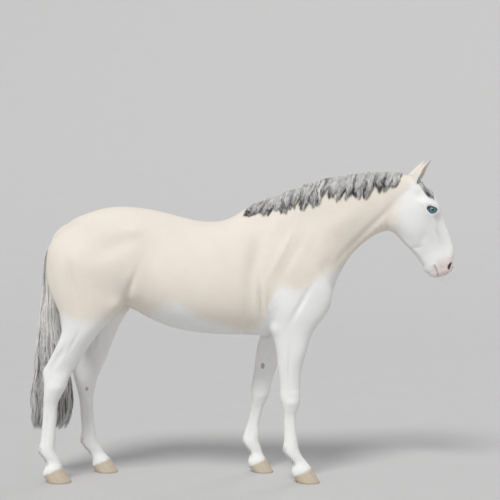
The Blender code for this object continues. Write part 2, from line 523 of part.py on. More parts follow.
# along the crest from the withers to the poll: crest x and z, and how far the hair hangs down the right side
maneRows = dict(
    withers=(0.060, 1.622, 0.070),
    start=(0.160, 1.676, 0.110),
    low=(0.300, 1.722, 0.135),
    middle=(0.480, 1.786, 0.150),
    high=(0.660, 1.828, 0.160),
    upper=(0.820, 1.848, 0.150),
    end=(0.985, 1.846, 0.090),
)
maneThick = 0.016
forelock = dict(x=1.085, z=1.812, tipX=1.190, tipZ=1.682, wide=0.040, sweep=0.034, thick=0.013)
materials = dict(
    coat=(0.80, 0.74, 0.66, 1, 0.6),
    white=(0.86, 0.85, 0.83, 1, 0.6),
    longHair=(0.55, 0.55, 0.56, 1, 0.5),
    horn=(0.62, 0.53, 0.42, 1, 0.4),
    eye=(0.16, 0.42, 0.50, 1, 0.08),
)


def materialOf(name):
    found = bpy.data.materials.get(name)
    if found:
        return found
    made = bpy.data.materials.new(name)
    made.use_nodes = True
    shader = made.node_tree.nodes["Principled BSDF"]
    shader.inputs["Base Color"].default_value = (*materials[name][:3], 1)
    shader.inputs["Roughness"].default_value = materials[name][4]
    return made


def paint(thing, name):
    thing.data.materials.clear()
    thing.data.materials.append(materialOf(name))
    return thing


# a closed mesh from rings of points, capped at both ends
def loftObject(name, rings):
    count = rings.shape[1]
    bm = bmesh.new()
    made = [[bm.verts.new(p) for p in ring] for ring in rings.tolist()]
    for low, high in zip(made, made[1:]):
        for i in range(count):
            j = (i + 1) % count
            bm.faces.new((low[i], low[j], high[j], high[i]))
    bm.faces.new(made[0][::-1])
    bm.faces.new(made[-1])
    bmesh.ops.recalc_face_normals(bm, faces=bm.faces)
    me = bpy.data.meshes.new(name)
    bm.to_mesh(me)
    bm.free()
    ob = bpy.data.objects.new(name, me)
    bpy.context.scene.collection.objects.link(ob)
    return ob


def settle(thing):
    graph = bpy.context.evaluated_depsgraph_get()
    made = bpy.data.meshes.new_from_object(thing.evaluated_get(graph))
    thing.modifiers.clear()
    thing.data = made
    return thing


def cut(thing, cutter, operation="DIFFERENCE"):
    m = thing.modifiers.new("cut", "BOOLEAN")
    m.object = cutter
    m.operation = operation
    m.solver = "EXACT"
    settle(thing)


def away(thing):
    bpy.data.objects.remove(thing)


# a flat slab on the parallelogram p, q, r, thick along its normal
def slab(p, q, r, thick):
    p, q, r = (np.array(v, float) for v in (p, q, r))
    normal = np.cross(q - p, r - p)
    normal = normal / np.linalg.norm(normal) * thick
    ring = np.array([p, q, q + r - p, r])
    return loftObject("cutter", np.array([ring, ring + normal]))


# the body grown a little, so that what lies on it keeps clear of it
def grown(thing, by):
    other = thing.copy()
    other.data = thing.data.copy()
    bpy.context.scene.collection.objects.link(other)
    m = other.modifiers.new("grow", "DISPLACE")
    m.strength, m.mid_level = by, 0
    return settle(other)


def looseParts(thing):
    bpy.ops.object.select_all(action="DESELECT")
    thing.select_set(True)
    bpy.context.view_layer.objects.active = thing
    bpy.ops.object.mode_set(mode="EDIT")
    bpy.ops.mesh.select_all(action="SELECT")
    bpy.ops.mesh.separate(type="LOOSE")
    bpy.ops.object.mode_set(mode="OBJECT")
    return list(bpy.context.selected_objects)


def volume(thing):
    bm = bmesh.new()
    bm.from_mesh(thing.data)
    v = bm.calc_volume()
    bm.free()
    return v


def keepLargest(thing, name):
    parts = sorted(looseParts(thing), key=volume)
    for p in parts[:-1]:
        away(p)
    parts[-1].name = parts[-1].data.name = name
    return parts[-1]


def fewer(thing, triangles):
    m = thing.modifiers.new("fewer", "DECIMATE")
    count = sum(len(p.vertices) - 2 for p in thing.data.polygons)
    m.ratio = min(1, triangles / count)
    return settle(thing)


# closed rings of a cupped ear, from inside the head to the tip; side is -1 for the right ear
def earRings(side, along, around):
    e = ear
    back = e["farBack"] if side > 0 else 0       # the left ear is turned back a little
    base = np.array([e["x"] - 0.4 * back, e["y"] * side, e["z"]])
    tip = np.array([e["tipX"] - back, e["tipY"] * side, e["tipZ"]])
    axis = (tip - base) / np.linalg.norm(tip - base)
    front = np.array([0.90, 0.44 * side, 0.0])
    front = front - axis * (front @ axis)
    front = front / np.linalg.norm(front)
    across = np.cross(axis, front)
    t = np.linspace(0, 1, along)
    places = [0, 0.2, 0.4, 0.6, 0.75, 0.9, 1]
    wide = e["wide"] * splineThrough(places, [0.50, 0.84, 1.0, 0.88, 0.64, 0.29, 0.08], t)
    deep = e["deep"] * splineThrough(places, [0.50, 0.86, 0.92, 0.64, 0.39, 0.16, 0.06], t)
    wrap = np.radians(splineThrough([0, 0.25, 0.45, 0.7, 1], [162, 146, 120, 100, 88], t))
    thick = e["thick"] * np.interp(t, [0, 0.8, 1], [1.4, 1.0, 0.8])
    bend = 0.006 * np.sin(np.pi * t)
    middle = base + t[:, None] * (tip - base) - bend[:, None] * front
    phi = np.linspace(-1, 1, around)
    rings = []
    for i in range(along):
        a = phi * wrap[i]
        thin = np.minimum(thick[i], 0.45 * np.minimum(wide[i], deep[i]))
        outer = middle[i] + np.outer(np.sin(a) * wide[i], across) - np.outer(np.cos(a) * deep[i], front)
        inner = middle[i] + np.outer(np.sin(a) * (wide[i] - thin), across) \
            - np.outer(np.cos(a) * (deep[i] - thin), front)
        rings.append(np.concatenate([outer, inner[::-1]]))
    return np.array(rings)


# rings of a hoof wall from the flat sole to the slanted coronet
def hoofRings(spec, y, around, levels):
    heel, toe, heelUp, toeUp, heelZ, toeZ, wide, wideUp = spec
    a = np.linspace(0, 2 * np.pi, around, endpoint=False)
    c, s = np.cos(a), np.sin(a)
    c, s = np.sign(c) * np.abs(c) ** 0.85, np.sign(s) * np.abs(s) ** 0.85
    s = s * (1 - 0.22 * np.clip(-c, 0, 1) ** 1.6)
    q = np.linspace(0, 1, levels)[:, None]
    back, front, half = heel + (heelUp - heel) * q, toe + (toeUp - toe) * q, wide + (wideUp - wide) * q
    x = (back + front) / 2 + (front - back) / 2 * c
    top = heelZ + (toeZ - heelZ) * (x[-1] - heelUp) / (toeUp - heelUp)
    return np.stack([x, y + half * s, q * top], -1)


# long hair lying on the body: the field grown by the hair's thickness inside its own patch
def hairPatch(name, patch, box, step):
    (x0, x1), (y0, y1), (z0, z1) = box
    axes = [np.arange(a, b + step, step) for a, b in ((x0, x1), (y0, y1), (z0, z1))]
    f = bodyField(axes)
    g = patch(f, axes[0][:, None, None], axes[1][None, :, None], axes[2][None, None, :])
    points, faces = surfaceNet(g, axes)
    return meshObject(name, relaxed(points, faces, g, axes, 1), faces)


def manePatch(f, x, y, z):
    rows = np.array(list(maneRows.values()))
    crest, drop = splineThrough(rows[:, 0], rows[:, 1], x), splineThrough(rows[:, 0], rows[:, 2], x)
    q = (crest - z) / drop
    thick = maneThick * np.clip(1.15 - 0.5 * q, 0.5, 1)
    edge = np.maximum(y - 0.014, (q - 1) * drop)
    ends = np.maximum(rows[0, 0] - x, x - rows[-1, 0])
    return np.maximum(f - thick, np.maximum(edge, ends))


def forelockPatch(f, x, y, z):
    k = forelock
    dx, dz = k["tipX"] - k["x"], k["tipZ"] - k["z"]
    long = math.hypot(dx, dz)
    q = ((x - k["x"]) * dx + (z - k["z"]) * dz) / long ** 2
    wide = k["wide"] * np.clip(1.05 - 0.35 * q, 0.2, 1)
    ends = np.maximum(-q, q - 1) * long
    inside = ((x - k["x"]) * dz - (z - k["z"]) * dx) / long - 0.06
    edges = np.maximum(np.abs(y + k["sweep"] * np.clip(q, 0, 1)) - wide, ends)
    return np.maximum(f - k["thick"] * np.clip(1.1 - 0.4 * q, 0.4, 1), np.maximum(edges, inside))


# ---- build
axes = gridAxes(gridStep, gridFine, gridFinest)
field = bodyField(axes)
points, faces = surfaceNet(field, axes)
body = fewer(meshObject("body", relaxed(points, faces, field, axes, 3), faces), bodyTriangles)
clear = grown(body, gap)

for side in (-1, 1):
    e = eyeball
    bpy.ops.mesh.primitive_uv_sphere_add(segments=18, ring_count=10, radius=e["r"] + 2 * gap,
                                         location=(e["x"], side * e["y"], e["z"]))
    socket = bpy.context.object
    cut(body, socket)
    away(socket)
    a = np.linspace(0, 2 * np.pi, 16, endpoint=False)
    c, s = np.cos(a), np.sin(a)
    slant = math.radians(-15)
    u, v = 0.0240 * c, 0.0170 * s * (1 - 0.25 * c ** 2)
    ring = np.stack([e["x"] + u * math.cos(slant) - v * math.sin(slant), 0 * a,
                     e["z"] + u * math.sin(slant) + v * math.cos(slant)], 1)
    opening = loftObject("cutter", np.array([ring + [0, side * e["y"], 0], ring + [0, side * 0.2, 0]]))
    cut(body, opening)
    away(opening)
    bpy.ops.mesh.primitive_uv_sphere_add(segments=18, ring_count=10, radius=e["r"],
                                         location=(e["x"], side * e["y"], e["z"]))
    bpy.context.object.name = "eye_right" if side < 0 else "eye_left"
    paint(bpy.context.object, "eye")

# hooves, and the legs cut off at each coronet
for name, spec in hooves.items():
    y = -hoofY if "Right" in name else hoofY
    nodeName = "hoof_" + ("fore" if "fore" in name else "hind") + ("_right" if y < 0 else "_left")
    paint(loftObject(nodeName, hoofRings(spec, y, 24, 3)), "horn")
    heel, toe, heelUp, toeUp, heelZ, toeZ, wide, wideUp = spec
    rise = (toeZ - heelZ) / (toeUp - heelUp)
    x0, x1 = heelUp - 0.04, toeUp + 0.07
    z0, z1 = heelZ + gap - 0.04 * rise, toeZ + gap + 0.07 * rise
    under = slab((x0, y - 0.1, z0), (x0, y + 0.1, z0), (x1, y - 0.1, z1), 0.1)
    cut(body, under)
    away(under)

# long hair and ears, kept clear of the body
mane = hairPatch("mane", manePatch, ((0.02, 1.02), (-0.22, 0.05), (1.46, 1.90)), 0.010)
fewer(mane, 420)
cut(mane, clear)
mane = paint(keepLargest(mane, "mane"), "longHair")
lock = hairPatch("forelock", forelockPatch, ((1.04, 1.24), (-0.11, 0.08), (1.64, 1.88)), 0.007)
fewer(lock, 200)
cut(lock, clear)
lock = paint(keepLargest(lock, "forelock"), "longHair")
for side, name in ((-1, "ear_right"), (1, "ear_left")):
    made = loftObject(name, earRings(side, 8, 7))
    cut(made, clear)
    made = paint(keepLargest(made, name), "coat")
    hull = grown(made, 0)
    bm = bmesh.new()
    bm.from_mesh(hull.data)
    around = bmesh.ops.convex_hull(bm, input=bm.verts)
    bmesh.ops.delete(bm, geom=list(set(bm.faces) - set(around["geom"])), context="FACES")
    bmesh.ops.recalc_face_normals(bm, faces=bm.faces)
    bm.to_mesh(hull.data)
    bm.free()
    wider = grown(hull, gap)
    cut(lock, wider)
    away(hull)
    away(wider)
lock = keepLargest(lock, "forelock")
rows = np.array(sorted(tailRows.values()))
z = np.linspace(rows[0, 0], rows[-1, 0], 12)
back, front, half = (splineThrough(rows[:, 0], c, z)[:, None] for c in rows.T[1:])
a = np.linspace(0, 2 * np.pi, 14, endpoint=False)
rings = np.stack([(back + front) / 2 + (front - back) / 2 * np.cos(a), half * np.sin(a), z[:, None] + 0 * a], -1)
tail = loftObject("tail", rings)
cut(tail, clear)
tail = paint(keepLargest(tail, "tail"), "longHair")
away(clear)

# part the body with thin cuts
cuts = [
    slab((0.10, -0.5, 1.76), (0.10, 0.5, 1.76), (0.64, -0.5, 1.14), gap),
    slab((0.975, -0.3, 1.93), (0.975, 0.3, 1.93), (0.870, -0.3, 1.40), gap),
    slab((-0.20, -0.02, 0.805), (0.75, -0.02, 0.805), (-0.20, -0.27, 0.930), gap),
    slab((-0.20, 0.02, 0.805), (0.75, 0.02, 0.805), (-0.20, 0.27, 0.930), gap),
    slab((-0.62, -0.4, 1.025), (-0.62, 0.4, 1.025), (-1.25, -0.4, 0.925), gap),
    slab((-1.30, 0.0, 0.70), (-0.60, 0.0, 0.70), (-1.30, 0.0, 1.02), gap),
]
for c in cuts:
    cut(body, c)
    away(c)
for part in looseParts(body):
    box = np.array([part.matrix_world @ v.co for v in part.data.vertices])
    x, y, z = (box.min(0) + box.max(0)) / 2
    if z < 0.75:
        name = ("foreleg" if x > 0 else "hindleg") + ("_right" if y < 0 else "_left")
    elif x > 1.0:
        name = "head"
    elif x > 0.4:
        name = "neck"
    else:
        name = "trunk"
    print(name, len(part.data.vertices), volume(part))
    part.name = part.data.name = name
    paint(part, "white" if "leg" in name or name == "head" else "coat")

# clear away slivers
everything = [o for o in bpy.data.objects if o.type == "MESH"]
for o in everything:
    bm = bmesh.new()
    bm.from_mesh(o.data)
    bmesh.ops.triangulate(bm, faces=bm.faces)
    bmesh.ops.dissolve_degenerate(bm, dist=0.00003, edges=bm.edges)
    bmesh.ops.triangulate(bm, faces=bm.faces)
    bm.to_mesh(o.data)
    bm.free()
ends = np.concatenate([np.array([o.matrix_world @ v.co for v in o.data.vertices]) for o in everything])
print("bounds", ends.min(0), ends.max(0))
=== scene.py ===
import math
import bpy
import numpy as np
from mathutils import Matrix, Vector


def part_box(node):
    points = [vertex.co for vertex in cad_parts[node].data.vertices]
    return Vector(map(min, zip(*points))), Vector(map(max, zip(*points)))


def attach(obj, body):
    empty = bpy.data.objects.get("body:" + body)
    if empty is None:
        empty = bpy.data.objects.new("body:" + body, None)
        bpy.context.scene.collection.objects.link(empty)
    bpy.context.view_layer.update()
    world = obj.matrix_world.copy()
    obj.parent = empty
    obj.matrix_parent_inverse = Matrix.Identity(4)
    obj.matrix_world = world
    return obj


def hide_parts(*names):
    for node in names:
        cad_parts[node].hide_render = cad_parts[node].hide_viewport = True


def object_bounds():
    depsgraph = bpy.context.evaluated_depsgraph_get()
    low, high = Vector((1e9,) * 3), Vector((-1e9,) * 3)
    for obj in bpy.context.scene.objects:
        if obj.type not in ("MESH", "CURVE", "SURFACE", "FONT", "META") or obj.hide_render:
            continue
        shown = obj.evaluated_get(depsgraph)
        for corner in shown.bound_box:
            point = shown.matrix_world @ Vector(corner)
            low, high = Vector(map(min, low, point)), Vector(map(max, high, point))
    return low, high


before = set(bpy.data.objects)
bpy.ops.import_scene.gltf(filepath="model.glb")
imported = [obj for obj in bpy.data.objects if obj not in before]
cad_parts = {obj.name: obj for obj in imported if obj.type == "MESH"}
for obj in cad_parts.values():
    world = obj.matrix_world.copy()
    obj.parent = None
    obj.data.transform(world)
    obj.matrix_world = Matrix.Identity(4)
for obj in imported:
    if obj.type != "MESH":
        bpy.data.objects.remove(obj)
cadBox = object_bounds()
cadLow, cadHigh = (np.array(c) for c in cadBox)
print("frame loaded, box", cadLow.round(4), cadHigh.round(4))


# the middle and half size of a node's box
def middleOf(node):
    low, high = (np.array(c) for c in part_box(node))
    return (low + high) / 2, (high - low) / 2


# ---- the horse's shape: the sections that the frame's solids were lofted from, in metres in its axes
# sections along the trunk: middle x and z, reach up and down (square
# to the line of middles), half width, taper upwards
trunk = dict(
    buttock=(-1.000, 1.305, 0.224, 0.280, 0.185, 0.12),
    haunch=(-0.860, 1.332, 0.284, 0.312, 0.238, 0.16),
    hip=(-0.700, 1.335, 0.307, 0.300, 0.258, 0.15),
    loin=(-0.520, 1.300, 0.310, 0.322, 0.264, 0.16),
    lastRib=(-0.330, 1.240, 0.325, 0.345, 0.290, 0.18),
    middle=(-0.120, 1.215, 0.342, 0.350, 0.300, 0.22),
    girth=(0.060, 1.225, 0.378, 0.368, 0.268, 0.30),
    shoulder=(0.220, 1.225, 0.375, 0.368, 0.215, 0.28),
    breast=(0.360, 1.190, 0.270, 0.290, 0.195, 0.10),
)
neck = dict(
    root=(0.200, 1.360, 0.300, 0.250, 0.150, 0.30),
    base=(0.380, 1.475, 0.280, 0.302, 0.128, 0.34),
    lower=(0.520, 1.560, 0.252, 0.270, 0.104, 0.30),
    middle=(0.660, 1.620, 0.215, 0.219, 0.088, 0.24),
    upper=(0.800, 1.657, 0.190, 0.186, 0.079, 0.18),
    nape=(0.930, 1.667, 0.182, 0.176, 0.075, 0.14),
)
skull = dict(
    poll=(1.000, 1.735, 0.096, 0.110, 0.066, -0.04),
    brow=(1.045, 1.665, 0.130, 0.155, 0.093, -0.04),
    eye=(1.075, 1.590, 0.137, 0.185, 0.095, -0.02),
    cheek=(1.105, 1.515, 0.133, 0.170, 0.084, 0.06),
    face=(1.140, 1.435, 0.129, 0.142, 0.068, 0.12),
    nose=(1.170, 1.365, 0.122, 0.120, 0.055, 0.08),
    nostril=(1.195, 1.305, 0.103, 0.102, 0.056, -0.06),
    lip=(1.212, 1.266, 0.078, 0.082, 0.049, -0.04),
)
# sections up each leg: middle y and half width, then height, back x and front x on the right and on the left
foreLegs = dict(
    heel=(0.146, 0.053, (0.034, 0.302, 0.440), (0.030, 0.044, 0.180)),
    coronet=(0.146, 0.050, (0.085, 0.299, 0.417), (0.080, 0.041, 0.152)),
    pastern=(0.146, 0.037, (0.122, 0.298, 0.388), (0.115, 0.046, 0.133)),
    fetlockLow=(0.146, 0.038, (0.150, 0.272, 0.366), (0.150, 0.026, 0.122)),
    fetlock=(0.146, 0.040, (0.190, 0.246, 0.346), (0.190, 0.004, 0.110)),
    fetlockTop=(0.146, 0.036, (0.235, 0.248, 0.338), (0.235, 0.010, 0.113)),
    cannonLow=(0.146, 0.030, (0.290, 0.250, 0.331), (0.290, 0.028, 0.112)),
    cannon=(0.146, 0.029, (0.350, 0.250, 0.328), (0.350, 0.044, 0.124)),
    cannonTop=(0.146, 0.034, (0.405, 0.248, 0.330), (0.405, 0.055, 0.139)),
    kneeLow=(0.147, 0.045, (0.445, 0.242, 0.345), (0.445, 0.060, 0.158)),
    knee=(0.148, 0.050, (0.485, 0.233, 0.352), (0.485, 0.058, 0.174)),
    kneeTop=(0.150, 0.046, (0.530, 0.227, 0.351), (0.530, 0.058, 0.185)),
    armLow=(0.152, 0.047, (0.590, 0.224, 0.352), (0.590, 0.068, 0.200)),
    arm=(0.155, 0.056, (0.680, 0.214, 0.363), (0.680, 0.080, 0.233)),
    armTop=(0.155, 0.068, (0.780, 0.204, 0.391), (0.780, 0.096, 0.286)),
    elbow=(0.152, 0.078, (0.880, 0.180, 0.424), (0.880, 0.120, 0.360)),
    upperArm=(0.150, 0.088, (1.000, 0.150, 0.500), (1.000, 0.120, 0.460)),
    shoulder=(0.142, 0.092, (1.130, 0.120, 0.535), (1.130, 0.100, 0.525)),
    blade=(0.138, 0.090, (1.270, 0.080, 0.470), (1.270, 0.070, 0.465)),
    bladeTop=(0.105, 0.075, (1.420, 0.030, 0.330), (1.420, 0.025, 0.330)),
    withers=(0.060, 0.050, (1.530, 0.000, 0.200), (1.530, 0.000, 0.200)),
)
hindLegs = dict(
    heel=(0.146, 0.052, (0.034, -1.178, -1.040), (0.026, -0.932, -0.800)),
    coronet=(0.146, 0.049, (0.088, -1.166, -1.058), (0.082, -0.928, -0.820)),
    pastern=(0.146, 0.037, (0.118, -1.160, -1.070), (0.112, -0.944, -0.846)),
    fetlockLow=(0.146, 0.038, (0.150, -1.180, -1.084), (0.150, -0.976, -0.870)),
    fetlock=(0.146, 0.040, (0.190, -1.202, -1.100), (0.190, -1.000, -0.892)),
    fetlockTop=(0.146, 0.036, (0.240, -1.194, -1.100), (0.240, -0.998, -0.904)),
    cannonLow=(0.146, 0.031, (0.310, -1.186, -1.097), (0.310, -1.001, -0.914)),
    cannon=(0.146, 0.031, (0.400, -1.179, -1.090), (0.400, -1.007, -0.919)),
    cannonTop=(0.146, 0.037, (0.470, -1.176, -1.083), (0.470, -1.016, -0.919)),
    hockLow=(0.146, 0.047, (0.515, -1.174, -1.062), (0.515, -1.026, -0.909)),
    hock=(0.147, 0.051, (0.565, -1.172, -1.034), (0.565, -1.040, -0.897)),
    hockTop=(0.148, 0.046, (0.615, -1.176, -1.018), (0.615, -1.054, -0.880)),
    hockPoint=(0.150, 0.040, (0.655, -1.175, -0.997), (0.655, -1.059, -0.862)),
    gaskinLow=(0.154, 0.048, (0.715, -1.146, -0.956), (0.715, -1.038, -0.836)),
    gaskin=(0.160, 0.062, (0.790, -1.106, -0.908), (0.790, -1.014, -0.808)),
    gaskinTop=(0.164, 0.077, (0.870, -1.070, -0.852), (0.870, -1.004, -0.777)),
    thighLow=(0.162, 0.092, (0.940, -1.062, -0.790), (0.940, -1.022, -0.742)),
    stifle=(0.152, 0.110, (1.020, -1.086, -0.716), (1.020, -1.066, -0.692)),
    thigh=(0.138, 0.128, (1.110, -1.130, -0.664), (1.110, -1.122, -0.650)),
    ham=(0.124, 0.142, (1.220, -1.164, -0.650), (1.220, -1.160, -0.640)),
    buttock=(0.112, 0.132, (1.340, -1.166, -0.660), (1.340, -1.164, -0.655)),
    rump=(0.086, 0.084, (1.450, -1.110, -0.700), (1.450, -1.110, -0.700)),
    croup=(0.066, 0.044, (1.520, -0.980, -0.760), (1.520, -0.980, -0.760)),
)
# humps and hollows on both sides: x, |y|, z, reach along, across, up, tilt, height
forms = dict(
    hipBone=(-0.630, 0.245, 1.490, 0.060, 0.07, 0.045, 0, 0.015),
    hipHollow=(-0.730, 0.270, 1.405, 0.150, 0.10, 0.060, 24, -0.019),
    flankHollow=(-0.530, 0.290, 1.380, 0.080, 0.10, 0.100, -10, -0.018),
    gluteal=(-0.850, 0.130, 1.560, 0.200, 0.09, 0.100, 0, 0.010),
    croupGroove=(-0.860, 0.000, 1.640, 0.200, 0.022, 0.080, 0, -0.007),
    tailRoot=(-1.080, 0.000, 1.500, 0.070, 0.040, 0.050, 40, 0.008),
    croupEnd=(-1.025, 0.000, 1.560, 0.070, 0.090, 0.060, 38, 0.015),
    tailSide=(-1.135, 0.075, 1.440, 0.040, 0.030, 0.070, 0, -0.014),
    hamstring=(-1.060, 0.220, 1.220, 0.070, 0.09, 0.200, 12, 0.008),
    hamGroove=(-0.985, 0.280, 1.180, 0.022, 0.10, 0.190, 14, -0.013),
    hamSplit=(-1.110, 0.230, 1.180, 0.016, 0.09, 0.150, 12, -0.005),
    buttockRound=(-1.170, 0.260, 1.330, 0.110, 0.110, 0.200, 0, -0.034),
    crotch=(-1.120, 0.000, 1.130, 0.100, 0.030, 0.200, 0, -0.020),
    stifleCap=(-0.725, 0.235, 1.045, 0.045, 0.08, 0.045, 0, 0.013),
    flankFold=(-0.650, 0.250, 1.155, 0.018, 0.12, 0.100, -22, -0.013),
    flankEdge=(-0.620, 0.250, 1.100, 0.030, 0.12, 0.060, -22, 0.006),
    triceps=(0.235, 0.220, 1.060, 0.085, 0.09, 0.115, 20, 0.019),
    tricepsEdge=(0.118, 0.250, 1.090, 0.016, 0.10, 0.110, 4, -0.012),
    elbowCap=(0.190, 0.200, 0.905, 0.035, 0.06, 0.035, 0, 0.010),
    elbowFold=(0.130, 0.200, 0.900, 0.035, 0.08, 0.012, 40, -0.008),
    girthFold=(0.040, 0.230, 0.930, 0.040, 0.09, 0.010, 45, -0.005),
    armGroove=(0.350, 0.230, 1.060, 0.016, 0.08, 0.110, -30, -0.010),
    shoulderPoint=(0.455, 0.170, 1.125, 0.070, 0.08, 0.070, 0, 0.010),
    shoulderRound=(0.520, 0.270, 1.080, 0.110, 0.100, 0.200, 0, -0.030),
    bladeFront=(0.300, 0.200, 1.330, 0.025, 0.08, 0.180, -30, -0.006),
    bladeSpine=(0.235, 0.190, 1.350, 0.022, 0.08, 0.160, -28, 0.010),
    bladeRear=(0.085, 0.230, 1.330, 0.045, 0.10, 0.180, -12, -0.014),
    girthGroove=(0.055, 0.270, 1.080, 0.045, 0.10, 0.140, 0, -0.010),
    breastMuscle=(0.490, 0.095, 1.030, 0.100, 0.085, 0.120, 0, 0.021),
    breastGroove=(0.540, 0.000, 1.060, 0.130, 0.020, 0.160, 0, -0.018),
    breastFold=(0.430, 0.090, 0.925, 0.050, 0.070, 0.014, 50, -0.007),
    neckDip=(0.470, 0.110, 1.250, 0.035, 0.060, 0.100, -40, -0.010),
    jugular=(0.760, 0.090, 1.495, 0.230, 0.050, 0.020, 45, -0.013),
    windpipe=(0.680, 0.035, 1.370, 0.220, 0.040, 0.050, 45, 0.006),
    neckHollow=(0.400, 0.130, 1.560, 0.100, 0.07, 0.080, 30, -0.010),
    neckMuscle=(0.620, 0.110, 1.560, 0.180, 0.05, 0.060, 34, 0.008),
    withersHollow=(0.110, 0.120, 1.560, 0.080, 0.05, 0.060, 0, -0.006),
    throatFoldA=(0.880, 0.060, 1.500, 0.008, 0.05, 0.034, 12, -0.008),
    throatFoldB=(0.852, 0.060, 1.494, 0.008, 0.05, 0.030, 22, -0.007),
    throatFoldC=(0.822, 0.060, 1.484, 0.008, 0.05, 0.026, 32, -0.005),
    throatHollow=(0.900, 0.100, 1.610, 0.030, 0.05, 0.090, -12, -0.009),
    cheek=(1.010, 0.090, 1.505, 0.085, 0.035, 0.105, 25, 0.011),
    cheekFront=(1.086, 0.085, 1.430, 0.022, 0.04, 0.060, -20, -0.004),
    jawEdge=(1.010, 0.055, 1.395, 0.110, 0.025, 0.020, -44, 0.006),
    jawGap=(1.000, 0.000, 1.370, 0.130, 0.030, 0.045, -44, -0.022),
    jawLine=(1.048, 0.072, 1.388, 0.042, 0.03, 0.012, 8, -0.0045),
    browBone=(1.124, 0.094, 1.655, 0.036, 0.024, 0.016, -20, 0.012),
    socket=(1.142, 0.095, 1.612, 0.058, 0.045, 0.050, -20, 0.012),
    socketFront=(1.182, 0.076, 1.610, 0.024, 0.032, 0.044, -20, 0.008),
    templeHollow=(1.068, 0.090, 1.700, 0.030, 0.03, 0.026, -20, -0.010),
    foreheadEdge=(1.160, 0.060, 1.700, 0.060, 0.020, 0.016, -64, 0.004),
    cheekBone=(1.092, 0.100, 1.640, 0.050, 0.026, 0.013, -52, 0.006),
    tearHollow=(1.180, 0.078, 1.560, 0.030, 0.030, 0.012, -40, -0.005),
    faceCrest=(1.165, 0.080, 1.515, 0.068, 0.026, 0.011, -66, 0.011),
    faceHollow=(1.212, 0.070, 1.490, 0.085, 0.028, 0.022, -66, -0.010),
    underCrest=(1.128, 0.075, 1.430, 0.070, 0.034, 0.034, -60, -0.006),
    noseBone=(1.265, 0.032, 1.430, 0.110, 0.012, 0.014, -68, 0.007),
    noseSide=(1.232, 0.060, 1.395, 0.080, 0.03, 0.022, -68, -0.006),
    nostrilRim=(1.252, 0.052, 1.290, 0.040, 0.022, 0.034, -66, 0.009),
    nostrilBack=(1.222, 0.062, 1.310, 0.010, 0.018, 0.030, -20, -0.003),
    earRoot=(1.045, 0.058, 1.755, 0.034, 0.024, 0.034, 0, 0.014),
    lipGroove=(1.268, 0.000, 1.262, 0.030, 0.005, 0.040, -30, -0.003),
    lipUpper=(1.235, 0.035, 1.240, 0.030, 0.030, 0.026, -30, 0.006),
    lipCorner=(1.160, 0.055, 1.285, 0.014, 0.02, 0.014, 0, 0.004),
    chin=(1.120, 0.000, 1.250, 0.040, 0.036, 0.032, -30, 0.016),
    chinGroove=(1.092, 0.000, 1.275, 0.018, 0.08, 0.022, 20, -0.008),
)
# the same on each leg, from its own middle: x, |y|, z, reach along, across, up, height
foreForms = dict(
    tendonGroove=(-0.004, 0.032, 0.340, 0.007, 0.020, 0.080, -0.006),
    fetlockGroove=(-0.010, 0.040, 0.225, 0.008, 0.020, 0.030, -0.004),
    sesamoid=(-0.036, 0.022, 0.192, 0.018, 0.014, 0.020, 0.006),
    pasternHollow=(-0.040, 0.000, 0.130, 0.016, 0.014, 0.018, -0.006),
    heelBulb=(-0.050, 0.022, 0.062, 0.020, 0.018, 0.018, 0.006),
    kneeBack=(-0.050, 0.004, 0.505, 0.018, 0.020, 0.026, 0.008),
    kneeSide=(0.000, 0.048, 0.470, 0.026, 0.016, 0.020, 0.004),
    kneeCrease=(0.030, 0.030, 0.452, 0.030, 0.030, 0.006, -0.003),
    kneeRim=(0.030, 0.030, 0.530, 0.030, 0.030, 0.010, 0.003),
    armGroove=(-0.008, 0.060, 0.690, 0.008, 0.026, 0.100, -0.007),
    armBulge=(0.040, 0.040, 0.790, 0.035, 0.030, 0.070, 0.008),
)
hindForms = dict(
    tendonGroove=(-0.004, 0.034, 0.350, 0.007, 0.020, 0.090, -0.006),
    fetlockGroove=(-0.010, 0.040, 0.225, 0.008, 0.020, 0.030, -0.004),
    sesamoid=(-0.038, 0.022, 0.192, 0.018, 0.014, 0.020, 0.006),
    pasternHollow=(-0.040, 0.000, 0.130, 0.016, 0.014, 0.018, -0.006),
    heelBulb=(-0.050, 0.022, 0.060, 0.020, 0.018, 0.018, 0.006),
    achilles=(-0.040, 0.050, 0.735, 0.020, 0.026, 0.060, -0.017),
    hockCap=(-0.078, 0.000, 0.655, 0.018, 0.020, 0.020, 0.006),
    hockSide=(0.010, 0.050, 0.560, 0.030, 0.016, 0.022, 0.004),
    hockHollow=(-0.030, 0.048, 0.610, 0.016, 0.016, 0.024, -0.006),
    hockFold=(0.055, 0.020, 0.585, 0.020, 0.030, 0.007, -0.003),
    gaskinGroove=(0.000, 0.070, 0.830, 0.008, 0.030, 0.080, -0.006),
    gaskinBulge=(0.035, 0.050, 0.880, 0.040, 0.040, 0.070, 0.006),
)


# one side's sections of a pair of legs: height, back x, front x, middle y, half width
def legRows(legs, side):
    return np.array([(*row[2 if side < 0 else 3], *row[:2]) for row in legs.values()])


eyeRight, eyeSize = middleOf("eye_right")
eyeball = dict(x=eyeRight[0], y=abs(eyeRight[1]), z=eyeRight[2], r=eyeSize[1])


